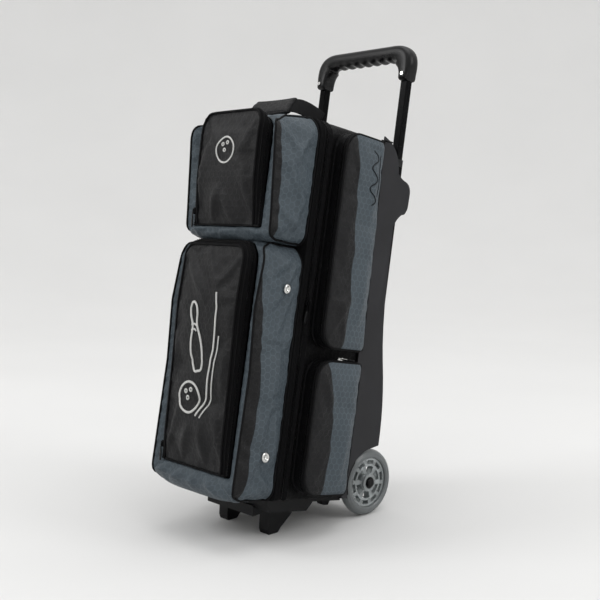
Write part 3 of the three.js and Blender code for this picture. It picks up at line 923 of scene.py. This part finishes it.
def pocket_body(pocket):
    """The fabric round a front pocket: sides, top and bottom, and the border of its mouth."""
    half, bottom, top = pocket["half"], pocket["bottom"], pocket["top"]
    low, high, step, depth_rows = 26, 42, 6.0, 16
    sides = round((top - bottom - low - high) / step)
    counts = (round((half - low) / step), 8, sides, round(2 * (half - high) / step))
    outer = outline(-half, bottom, half, top, (low, low, high, high), counts)
    wide = pocket["mouth_half"]
    corners = (3, 3, MOUTH_CORNER, MOUTH_CORNER)
    mouth = outline(-wide, bottom + pocket["lift"], wide, top - TOP_BORDER, corners, counts)
    back = DOOR_FRONT - 0.5
    edge = front_face(pocket, *outer.T)
    flank = np.clip((np.abs(outer[:, 0]) - half + 14) / 12, 0, 1)
    points = []
    for t in np.arange(depth_rows + 1) / depth_rows:
        depth = back * (1 - t) + edge * t
        middle = math.sin(math.pi * t)
        fold = creases(depth, outer[:, 1], pocket["side_folds"]) * flank * middle**0.4
        x = outer[:, 0] * (1 + 0.03 * middle) + np.sign(outer[:, 0]) * fold
        points.append(facing_front(x, outer[:, 1], depth))
    for t in (0.08, 0.2, 0.35, 0.5, 0.66, 0.83, 1.0):
        loop = outer * (1 - t) + mouth * t
        fold = creases(*loop.T, pocket["border_folds"]) * math.sin(math.pi * t)
        points.append(facing_front(*loop.T, front_face(pocket, *loop.T) - fold))
    points = drooping(pocket, np.array(points))
    steps = np.linalg.norm(np.diff(points, axis=0), axis=2)
    v = np.concatenate([np.zeros((1, len(outer))), np.cumsum(steps, 0)])
    surface = Surface(points, lengths(outer), v, True)
    surface.edge, surface.pocket = v[depth_rows], pocket
    right = side_middle(pocket, surface)
    surface.middles = {1: right, -1: surface.u[-1] - right}
    inside = np.maximum(*(side_panel(surface, sign) for _, sign in SIDES))
    dark = np.maximum(points[..., 1] - np.interp(points[..., 2], *pocket["band"]), -inside)
    made = surface.build(pocket["name"] + "_pocket_body", LOOK["two_tone"], {"dark": dark})
    pins = np.zeros(points.shape[:2])
    pins[0] = pins[-1] = 1
    pins = np.maximum(pins, 1 - np.abs(inside) / 5)
    swell(surface, pins, 1.6, 0.05, 9, 0.08)
    thicken(made, 2.2)
    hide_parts(pocket["name"] + "_pocket")
    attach(made, "front_door")
    return surface


def side_middle(pocket, surface):
    """The length along the outline at the middle of the right side."""
    right = np.where(surface.points[0, :, 0] > pocket["half"] - 1)[0]
    centre = (pocket["bottom"] + pocket["top"]) / 2
    return surface.u[right[np.argmin(np.abs(surface.points[0, right, 2] - centre))]]


def side_reach(pocket):
    return (pocket["top"] - pocket["bottom"]) / 2 + 4


def side_panel(surface, sign):
    """How far inside the piped side panel each point is, measured along the fabric."""
    middle, tall = surface.middles[sign], side_reach(surface.pocket)
    along = np.broadcast_to(surface.u[:-1], surface.v.shape)
    place = np.stack([along, surface.v - surface.edge], -1)
    return inset(place, middle - tall, -140, middle + tall, 0, PANEL_ROUND)


def panel_path(surface, sign, start=4.0):
    """The seam round a side panel: from the door forward, along the front edge and back."""
    middle, tall, r = surface.middles[sign], side_reach(surface.pocket), PANEL_ROUND
    leg = [(tall, ("back", t)) for t in np.linspace(0, 1, 14)[:-1]]
    corner = [
        (tall - r + r * math.cos(a), ("front", r * math.sin(a) - r))
        for a in np.linspace(0, math.pi / 2, 9)
    ]
    half_path = leg + corner
    path = [(-along, where) for along, where in half_path]
    path += [(t * (tall - r), ("front", 0.0)) for t in np.linspace(-1, 1, 70)[1:-1]]
    path += half_path[::-1]
    points = []
    for along, (kind, value) in path:
        u = middle + sign * along
        limit = float(np.interp(u, surface.u[:-1], surface.edge))
        v = start + (limit - r - start) * value if kind == "back" else limit + value
        points.append(surface.at(u, v))
    return np.array(points)


def side_piping(surface):
    """The cord round each side panel of a front pocket, and round its seam with the door."""
    made = []
    for _, sign in SIDES:
        points = panel_path(surface, sign)
        away = unit(points - [0, -300, points[:, 2].mean()])
        made.append(tube("piping", points + away * 0.9, 2.1, LOOK["binding"], up=(1, 0.3, 0)))
    loop = surface.points[0]
    base = loop + unit(loop - loop.mean(0)) * 1.2 - [0, 1.5, 0]
    made.append(tube("piping", base, 2.2, LOOK["binding"], closed=True, up=(0, 1, 0)))
    piping = joined(surface.pocket["name"] + "_pocket_piping", made)
    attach(piping, "front_door")


EDGE_BANDS = np.array([0, 1.5, 4, 8, 12, 15, 17.5])  # close rows near a front panel's edges


def edge_steps(total, step):
    """Stations across a width, close together near both of its ends."""
    ends, last = np.delete(EDGE_BANDS, 1)[:-1], EDGE_BANDS[-1]
    inner = np.linspace(last, total - last, round((total - 2 * last) / step) + 1)
    return np.concatenate([ends, inner, (total - ends)[::-1]])


def front_flap(pocket):
    """The zipped front panel: zip tape round the edge and a padded black panel inside."""
    half = pocket["mouth_half"]
    bottom, top = pocket["bottom"] + pocket["lift"], pocket["top"] - TOP_BORDER
    corner, step = MOUTH_CORNER, 6.0
    top_rows = top - EDGE_BANDS[::-1]
    low_rows = np.linspace(bottom, top_rows[0], round((top_rows[0] - bottom) / step))[:-1]
    heights = np.concatenate([low_rows, top_rows])
    over = np.clip(heights - (top - corner), 0, corner)
    wide = half - corner + np.sqrt(corner**2 - over**2)
    across = edge_steps(2 * half, step) / half - 1
    x = wide[:, None] * across[None]
    z = np.broadcast_to(heights[:, None], x.shape)
    distance = inset(np.stack([x, z], -1), -half, bottom - 90, half, top, corner)
    k = np.sin(math.pi / 2 * np.clip(distance / TAPE, 0, 1)) ** 0.8
    mouth = pocket["mouth"] - 1 + ends_round(pocket, z)
    panel = np.interp(z, *pocket["panel"]) + fillet(pocket["top"] - z, 14)
    panel = panel - creases(x, z, pocket["panel_folds"]) * np.clip((distance - TAPE) / 8, 0, 1)
    raised = z + pocket["dome"] * k * np.clip((z - top + 60) / 60, 0, 1)
    points = np.stack([x, mouth * (1 - k) + panel * k, raised], -1)
    points = drooping(pocket, points, 1 - k)
    surface = Surface(points, across * half + half, heights)
    made = surface.build(pocket["name"] + "_front_panel", LOOK["black_cloth"])
    made.data.materials.append(LOOK["tape"])
    outer = (distance[:-1, :-1] + distance[1:, 1:]) / 2 < TAPE - 1
    made.data.polygons.foreach_set("material_index", outer.astype(int).ravel())
    pins = np.maximum(np.clip(1 - (distance - TAPE) / 5, 0, 1), np.clip(1 - (z - bottom) / 6, 0, 1))
    swell(surface, pins, 1.2, 0.04, 8, 0.08)
    thicken(made, 3.0)
    surface.body = "front_" + pocket["name"] + "_flap"
    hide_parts(pocket["name"] + "_flap")
    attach(made, surface.body)
    surface.half, surface.bottom, surface.top, surface.corner = half, bottom, top, corner
    surface.heights, surface.pocket_name = heights, pocket["name"]
    return surface


def flap_edge(surface, inward, lift):
    """A path round a flap's sides and top, from its bottom left, at a distance in from its edge."""
    half, corner = surface.half - inward, surface.corner - inward
    bottom, top = surface.bottom + 1, surface.top - inward
    left = [(-half, z) for z in np.linspace(bottom, top - corner, 44)[:-1]]
    for a in np.linspace(math.pi, math.pi / 2, 11):
        left.append((corner - half + corner * math.cos(a), top - corner + corner * math.sin(a)))
    over = [(x, top) for x in np.linspace(corner - half, half - corner, 22)[1:-1]]
    right = [(-x, z) for x, z in left[::-1]]
    return np.array([on_flap(surface, x, z, lift) for x, z in left + over + right])


def on_flap(surface, x, z, lift=0.0):
    """The point of a flap's skin at x and z, raised to the front."""
    rows = surface.heights
    row = min(float(np.interp(z, rows, np.arange(len(rows)))), len(rows) - 1.001)
    low = int(row)
    ends = [
        np.array([np.interp(x, line[:, 0], line[:, axis]) for axis in (1, 2)])
        for line in surface.points[low : low + 2]
    ]
    depth, height = ends[0] * (1 - row + low) + ends[1] * (row - low)
    return np.array([x, depth - lift, height])


def flap_trim(surface):
    """The piping, seam and zip teeth of a front panel."""
    name = surface.pocket_name
    parts = [
        tube("piping", flap_edge(surface, TAPE, 1.0), 2.0, LOOK["binding"], up=(0, -1, 0)),
        tube("fold", flap_edge(surface, 8.5, 0.2), 1.1, LOOK["binding"], up=(0, -1, 0)),
    ]
    seam = [on_flap(surface, x, surface.bottom + 1.5, 0.6) for x in np.linspace(-90, 90, 30)]
    parts.append(tube("seam", seam, 1.8, LOOK["binding"], up=(0, -1, 0)))
    cord = joined(name + "_panel_piping", parts)
    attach(cord, surface.body)
    path = flap_edge(surface, 3.5, 0.2)
    chain = teeth(name + "_panel_teeth", path, np.broadcast_to([0.0, -1.0, 0.0], path.shape))
    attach(chain, surface.body)


pocket_surfaces = [pocket_body(p) for p in (UPPER, LOWER)]
flap_surfaces = [front_flap(p) for p in (UPPER, LOWER)]


# ---- side pockets ----
SIDE_FRONT_CORNER, SIDE_REAR_CORNER = 34, 10


COVER_SPLIT = {  # where a cover's black cloth meets the grey: heights, and y at each
    "upper": ([250, 284, 338, 409, 516, 575, 625], [-160, -159, -157, -161, -169, -176, -187]),
    "lower": ([-10, 60, 105, 158, 207, 224], [-165, -160, -160, -168, -182, -188]),
}


def side_outline(p, step=8.0):
    front, rear = SIDE_FRONT_CORNER, SIDE_REAR_CORNER
    counts = (6, 7, round((p["top"] - p["bottom"] - 2 * front) / step), 12)
    radii = (front, rear, rear, front)
    return outline(p["front"], p["bottom"], p["rear"], p["top"], radii, counts)


def rear_drop(p, y):
    """How far a side pocket's outer edge falls towards its rear."""
    return fillet(p["rear"] - y, REAR_ROUND) * REAR_DROP / REAR_ROUND


def slanted(p, y, z):
    """Leans a side pocket's rear edge forward towards its top."""
    back = np.clip((y - p["front"]) / (p["rear"] - p["front"]), 0, 1.1)
    high = np.clip((z - p["bottom"]) / (p["top"] - p["bottom"]), 0, 1)
    return y - p["slant"] * back * high


def side_pocket(side, sign, p):
    name = side + "_" + p["place"]
    loop = side_outline(p)

    def place(y, z, depth):
        share = 1 - rear_drop(p, y) / (SIDE_EDGE - SIDE_BASE)
        return facing_side(sign)(slanted(p, y, z), z, SIDE_BASE + (depth - SIDE_BASE) * share)

    rows = [(1.5, SIDE_BASE)] + ridge(SIDE_BASE + 2.4, 2.0)
    rows += [(0.6, SIDE_BASE + 8), (1.2, SIDE_BASE + 13), (0.8, SIDE_BASE + 17)]
    rows += ridge(SIDE_BASE + 20, 1.2) + ridge(SIDE_BASE + 25, 1.2) + [(0, SIDE_EDGE)]
    gusset = loft(name + "_gusset", loop, rows, place, LOOK["dark_cloth"], flip=sign < 0)
    thicken(gusset.object, 2.0)
    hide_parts(name + "_pocket")
    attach(gusset.object, "bag")
    out = outwards(loop)
    path = place(*(loop + out * 0.6).T, SIDE_BASE + 22.5)
    normal = facing_side(sign)(*out.T, 0)
    keep = loop[:, 0] < p["rear"] - 6
    order = np.where(~keep)[0]
    start = (order[order < len(loop) // 2].max() + 1) if len(order) else 0
    chain = np.roll(np.arange(len(loop)), -start)
    chain = chain[keep[chain]]
    made = teeth(name + "_teeth", path[chain], normal[chain])
    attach(made, "bag")


def side_cover(side, sign, p):
    """The padded outer face of a side pocket, black at the front and grey behind."""
    name = side + "_" + p["place"]
    front, rear, step = SIDE_FRONT_CORNER, SIDE_REAR_CORNER, 6.5
    bottom, top = p["bottom"] + 0.5, p["top"] - 0.5
    curve = front * (1 - np.cos(np.linspace(0, math.pi / 2, 9)))
    straight = np.linspace(bottom + front, top - front, round((top - bottom - 2 * front) / step) + 1)
    heights = np.concatenate([bottom + curve[:-1], straight, (top - curve[:-1])[::-1]])
    near = np.minimum(heights - bottom, top - heights)
    start = p["front"] + 0.5 + fillet(near, front)
    end = p["rear"] - 0.5 - fillet(near, rear)
    across = np.linspace(0, 1, 20)
    y = start[:, None] * (1 - across) + end[:, None] * across
    z = np.broadcast_to(heights[:, None], y.shape)
    distance = inset(np.stack([y, z], -1), p["front"], p["bottom"], p["rear"] + 20, p["top"], front)
    out = SIDE_EDGE + 6.5 - fillet(np.maximum(distance, 0), 12) * 0.5 - rear_drop(p, y)
    out += creases(y, z, COVER_FOLDS[p["place"]]) * np.clip(distance / 10, 0, 1)
    points = np.stack([sign * out, slanted(p, y, z), z], -1)
    surface = Surface(points, np.linspace(0, p["rear"] - p["front"], len(across)), heights)
    split = np.interp(z, *COVER_SPLIT[p["place"]])
    made = surface.build(name + "_cover", LOOK["two_tone"], {"dark": y - split}, flip=sign < 0)
    pins = np.clip(1 - (np.minimum(distance, p["rear"] - y) - 3) / 5, 0, 1)
    pins = np.maximum(pins, 0.35 * (1 - np.abs(y - split) / 4))
    swell(surface, pins, 2.4, 0.016, 10, 0.4)
    thicken(made, 4.0)
    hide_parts(name + "_flap")
    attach(made, name + "_cover")
    surface.p, surface.name, surface.sign = p, name, sign
    return surface


def cover_piping(surface):
    """The cord round a cover's edge."""
    grid = surface.points
    path = np.concatenate([grid[0], grid[1:, -1], grid[-1, -2::-1], grid[-2:0:-1, 0]])
    name = surface.name + "_cover_piping"
    made = tube(name, path, 2.0, LOOK["binding"], closed=True, up=(1, 0, 0))
    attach(made, surface.name + "_cover")


for side, sign in SIDES:
    for p in SIDE_POCKETS:
        side_pocket(side, sign, p)
cover_surfaces = [side_cover(side, sign, p) for side, sign in SIDES for p in SIDE_POCKETS]

run_cloth()


# ---- carry handle ----
CARRY = {"foot": 92, "shoulder": 66, "wrap": 52, "rise": 43, "y": -224}
CARRY_TILT = math.radians(62)


def sweep(name, path, across, section, material):
    """Sweeps a closed section along a path: its points are along across and along its normal."""
    path = np.asarray(path, float)
    along = unit(np.gradient(path, axis=0))
    wide = np.broadcast_to(np.asarray(across, float), path.shape)
    up = unit(np.cross(along, wide))
    section = np.asarray(section, float)
    if section.ndim == 2:
        section = np.broadcast_to(section, (len(path), *section.shape))
    points = path[:, None] + wide[:, None] * section[..., :1] + up[:, None] * section[..., 1:]
    made = Surface(points, lengths(section[0]), run_along(path), True).build(name, material)
    finish_mesh(made, caps=True)
    return made


def oval(a, b, power=2.0, count=24):
    """A closed superellipse of half sizes a and b."""
    turn = circle_steps(count)
    c, s = np.cos(turn), np.sin(turn)
    return np.stack([
        a * np.sign(c) * np.abs(c) ** (2 / power),
        b * np.sign(s) * np.abs(s) ** (2 / power),
    ], -1)


def on_strap(x, h, off=0.0):
    """A point of the carry handle: x along it, h up its leaning loop, off to its front side."""
    c, s = math.cos(CARRY_TILT), math.sin(CARRY_TILT)
    return np.array([x, CARRY["y"] - h * s + off * c, TOP + 0.3 + h * c + off * s])


def carry_handle():
    foot, rise, wrap = CARRY["foot"], CARRY["rise"], CARRY["wrap"]
    bend = []
    for t in np.linspace(0, 1, 16):
        a = np.array([foot, 1.0]) * (1 - t) ** 2
        b = np.array([CARRY["shoulder"] + 11, rise]) * 2 * t * (1 - t)
        bend.append(a + b + np.array([wrap, rise]) * t * t)
    flat = [(x, rise) for x in np.linspace(wrap, -wrap, 12)[1:-1]]
    line = bend + flat + [(-x, h) for x, h in bend[::-1]]
    path = [on_strap(x, h) for x, h in line]
    across = (0, math.cos(CARRY_TILT), math.sin(CARRY_TILT))
    strap = sweep("carry_webbing", path, across, oval(15, 1.4, 5), LOOK["webbing"])
    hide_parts("carry_strap")
    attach(strap, "bag")
    stations = np.linspace(-wrap, wrap, 40)
    pad_path = [on_strap(x, rise - 0.5 - 1.5 * math.cos(x / 25)) for x in stations]
    ends = np.clip((wrap - np.abs(stations)) / 3, 0.35, 1) ** 0.5
    section = [oval(18 * (0.9 + 0.1 * e), 6.2 * e, 2.6, 28) for e in ends]
    pad = sweep("carry_wrap", pad_path, across, section, LOOK["black_cloth"])
    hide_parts("carry_pad")
    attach(pad, "bag")
    stitches = []
    for edge in (-13.5, 13.5):
        for x in np.arange(-46, 47, 5.0):
            ends = [on_strap(x + dx, rise + 4.3, edge) for dx in (-1.5, 0, 1.5)]
            stitch = tube("stitch", ends, 0.45, LOOK["dark_thread"], sides=5, up=(0, 0.3, 1))
            stitches.append(stitch)
    sewn = joined("carry_stitching", stitches)
    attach(sewn, "bag")


# ---- pull handle grip ----
GRIP_FLAT, GRIP_TOP = 78, 828.5  # half the straight part over the hand, and its height
FINGERS = 7


def grip():
    """A moulded grip: round over the hand, squarer where its two sockets hold the tubes."""
    line = [(109.3, 771), (109.3, 779), (109.4, 788)]
    for t in np.linspace(0, 1, 22)[1:]:
        a = np.array([109.4, 788]) * (1 - t) ** 3
        b = np.array([109.8, 815]) * 3 * t * (1 - t) ** 2
        c = np.array([104, 828]) * 3 * t * t * (1 - t)
        line.append(tuple(a + b + c + np.array([GRIP_FLAT, GRIP_TOP]) * t**3))
    flat = [(x, GRIP_TOP) for x in np.linspace(GRIP_FLAT, -GRIP_FLAT, 110)[1:-1]]
    line = line + flat + [(-x, z) for x, z in line[::-1]]
    path = np.array([(x, -30.0, z) for x, z in line])
    sections = []
    for x, _, z in path:
        socket = np.clip((800 - z) / 14, 0, 1)
        corner = math.exp(-(((abs(x) - 103) / 14) ** 2)) * math.exp(-(((z - 812) / 16) ** 2))
        tall = 11.2 * socket + 15.2 * (1 - socket) + 2.5 * corner
        shape = oval(16.8, tall, 4.5 - 1.8 * (1 - socket), 32)
        under = shape[:, 1] < 0
        shape[under, 1] *= 1 + 0.45 * corner
        if abs(x) < GRIP_FLAT:
            fade = min(1, (GRIP_FLAT - abs(x)) / 8)
            finger = 1.7 * math.cos(x / GRIP_FLAT * FINGERS * math.pi) * fade
            shape[under, 1] *= 1 + finger / 15
        sections.append(shape)
    body = sweep("grip_body", path[::-1], (0, 1, 0), sections[::-1], LOOK["grip"])
    subdivided(body)
    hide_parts("grip_front", "grip_rear")
    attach(body, "pull_handle")


# ---- eyelets, sliders and embroidery ----
def outward(surface, u, v):
    """The direction off a surface at lengths u and v."""
    p = surface.at(u, v)
    return unit(np.cross(surface.at(u + 2, v) - p, surface.at(u, v + 2) - p))


def turned_ring(name, profile, centre, out, material, count=28):
    """Turns a profile of (radius, height) round the direction out at a point."""
    side = unit(np.cross(out, [0.0, 0.0, 1.0]))
    up = np.cross(side, out)
    turn = circle_steps(count)[:, None]
    ring = np.cos(turn) * side + np.sin(turn) * up
    points = [centre + r * ring + h * out for r, h in profile]
    u = [*circle_steps(count), 2 * math.pi]
    made = Surface(points, u, run_along(np.array(profile)), True).build(name, material, flip=True)
    finish_mesh(made, caps=True)
    return made


VENT = [(8.9, -1.0), (9.0, 0.6), (8.0, 1.7), (6.2, 2.1), (4.6, 1.6), (3.6, 0.4), (3.3, -0.8)]
VENT_HEIGHTS = (("top", 340), ("bottom", 51))
VENT_DEPTH = 289


def eyelets(surface):
    """Four domed steel vents, two on each side of the lower pocket."""
    middle = (LOWER["top"] + LOWER["bottom"]) / 2
    for side, sign in SIDES:
        for place, z in VENT_HEIGHTS:
            u, v = surface.middles[sign] + sign * (z - middle), VENT_DEPTH + DOOR_FRONT
            # mostly sideways, so that a fold doesn't tilt the vent
            out = unit(outward(surface, u, v) * 0.3 + np.array([0.7 * sign, 0, 0]))
            point = surface.at(u, v) + out * 2.0
            ring = turned_ring("eyelet_" + side + "_" + place, VENT, point, out, LOOK["steel"])
            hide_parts("vent_eyelet_" + side + "_" + place)
            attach(ring, "front_door")


def slab(start, end, half, thickness, material, out):
    """A flat bar with rounded ends between two points."""
    length = np.linalg.norm(end - start)
    along = (end - start) / length
    path = [start + along * t for t in np.linspace(0, length, 9)]
    ends = [min(1.0, math.sin(math.pi * (0.12 + 0.76 * t)) * 1.25) for t in np.linspace(0, 1, 9)]
    section = [oval(half * e, thickness / 2, 4, 16) for e in ends]
    return sweep("slider", path, unit(np.cross(out, along)), section, material)


def slider(name, centre, along, out, body, pull, material="tube"):
    """A zip slider with its ring and a hanging pull."""
    along, out = unit(np.array(along, float)), unit(np.array(out, float))
    base = centre + out * 1.6
    hang = base + out * 3.4 + along * 2
    look = LOOK[material]
    parts = [
        slab(base - along * 6, base + along * 6, 4.0, 3.6, look, out),
        slab(base + out * 3 - along * 4, base + out * 3 + along * 4, 1.4, 1.6, look, out),
        slab(hang, hang + along * pull, 2.6, 1.6, look, out),
        slab(hang + along * pull * 0.45, hang + along * (pull + 8), 3.4, 2.6, LOOK["tray"], out),
    ]
    made = joined(name, parts)
    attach(made, body)
    return made


def sliders():
    """The zips' sliders: one on the door, one on each side pocket and each front pocket."""
    place, along = (HALF + 0.5, DOOR_REAR + 1.6, 322), (0, -0.1, -1)
    made = slider("door_zip_slider", place, along, (1, 0, 0), "front_door", 26)
    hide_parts("door_slider")
    for side, sign in SIDES:
        place, along = (sign * 140, -108, 633.5), (0, 1, 0.04)
        slider(side + "_upper_slider", place, along, (0, 0, 1), "bag", 16)
        place, along = (sign * 140, -150, 227), (0.05, 1, -0.06)
        slider(side + "_lower_slider", place, along, (0, 0.1, 1), "bag", 26, "steel")
    for surface in flap_surfaces:
        place = on_flap(surface, 3.5 - surface.half, surface.bottom + 26, 0.6)
        name = surface.pocket_name + "_panel_slider"
        slider(name, place, (0.12, 0, -1), (-0.4, -1, 0), surface.body, 20)


def spline(points, steps=8, closed=False):
    """A smooth curve through points."""
    p = np.asarray(points, float)
    count = len(p)
    out = []
    for k in range(count if closed else count - 1):
        near = [k + m for m in (-1, 0, 1, 2)]
        a, b, c, d = (p[m % count if closed else min(max(m, 0), count - 1)] for m in near)
        linear, square, cube = c - a, 2 * a - 5 * b + 4 * c - d, 3 * b - a - 3 * c + d
        for t in np.arange(steps) / steps:
            out.append(0.5 * (2 * b + linear * t + square * t**2 + cube * t**3))
    return np.array(out if closed else out + [p[-1]])


def circle(x, z, r, count=28):
    turn = circle_steps(count)
    return np.stack([x + r * np.cos(turn), z + r * np.sin(turn)], -1)


PIN = [  # half the outline of a bowling pin, from its foot up
    (0, 0), (8, 1), (13, 14), (15, 32), (12, 54),
    (6.5, 72), (6, 82), (8.5, 94), (8, 106), (3.5, 114),
]
PIN_HEIGHT = 115


def pin_shape(x, z, size, turn):
    """The outline of a bowling pin that stands at a point, turned by some degrees."""
    mirrored = [(-a, b) for a, b in PIN[:0:-1]]
    shape = np.array(PIN + [(0, PIN_HEIGHT)] + mirrored) * size / PIN_HEIGHT
    c, s = math.cos(math.radians(turn)), math.sin(math.radians(turn))
    spun = np.stack([shape[:, 0] * c - shape[:, 1] * s, shape[:, 0] * s + shape[:, 1] * c], -1)
    return spline(spun + [x, z], 5, True)


def embroidery():
    """Plain bowling ornaments in raised thread: balls, a pin and a rolling trail."""
    upper, lower = flap_surfaces

    def sew(surface, curve, radius, closed=False):
        path = [on_flap(surface, x, z, 0.5) for x, z in curve]
        return tube("thread", path, radius, LOOK["thread"], closed, 8, 0.6, (0, -1, 0))

    def finger_holes(surface, places, size, radius):
        return [sew(surface, circle(x, z, size, 12), radius, True) for x, z in places]

    parts = [sew(upper, circle(2, 570, 22), 1.7, True)]
    parts += finger_holes(upper, ((-5, 580), (6, 583), (0, 570)), 2.6, 1.3)
    badge = joined("badge_stitching", parts)
    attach(badge, upper.body)
    swoop = spline([(8, 102), (26, 132), (33, 184), (38, 240), (36, 320)], 14)
    under = spline([(20, 100), (38, 134), (44, 184), (47, 246)], 14)
    parts = [
        sew(lower, pin_shape(2, 180, 122, 13), 2.3, True),
        sew(lower, spline([(-11, 249), (-17, 252), (-25, 250)], 6), 1.7),
        sew(lower, spline([(-11, 258), (-18, 261), (-26, 259)], 6), 1.7),
        sew(lower, circle(-15, 132, 27, 44), 2.3, True),
        sew(lower, swoop, 2.0),
        sew(lower, under, 1.5),
    ]
    parts += finger_holes(lower, ((-24, 142), (-11, 146), (-18, 131)), 3.0, 1.6)
    trail = joined("panel_stitching", parts)
    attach(trail, lower.body)
    wave = spline([(-138 + 9 * math.sin(k * 1.35), 512 + k * 8.2) for k in range(13)], 8)
    stroke = [(-122, z) for z in np.linspace(530, 606, 16)]
    for surface in cover_surfaces:
        if surface.p["place"] == "upper":
            parts = []
            for curve, radius in ((wave, 1.2), (stroke, 0.9)):
                path = [on_cover(surface, y, z, 0.4) for y, z in curve]
                out = (surface.sign, 0, 0)
                parts.append(tube("thread", path, radius, LOOK["dark_thread"], False, 8, 0.6, out))
            sewn = joined(surface.name + "_stitching", parts)
            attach(sewn, surface.name + "_cover")


def on_cover(surface, y, z, lift=0.0):
    """The point of a side cover's skin at y and z, raised outward."""
    rows = surface.points
    heights = rows[:, 0, 2]
    row = min(float(np.interp(z, heights, np.arange(len(heights)))), len(heights) - 1.001)
    low = int(row)
    out = [np.interp(y, rows[k, :, 1], rows[k, :, 0]) for k in (low, low + 1)]
    return np.array([out[0] * (1 - row + low) + out[1] * (row - low) + surface.sign * lift, y, z])


compartment()
door()
hinge_cloth()
carry_handle()
grip()
for surface in pocket_surfaces:
    side_piping(surface)
for surface in flap_surfaces:
    flap_trim(surface)
for surface in cover_surfaces:
    cover_piping(surface)
eyelets(pocket_surfaces[1])
sliders()
embroidery()
for surface in (*pocket_surfaces, *flap_surfaces, *cover_surfaces):
    subdivided(surface.object)
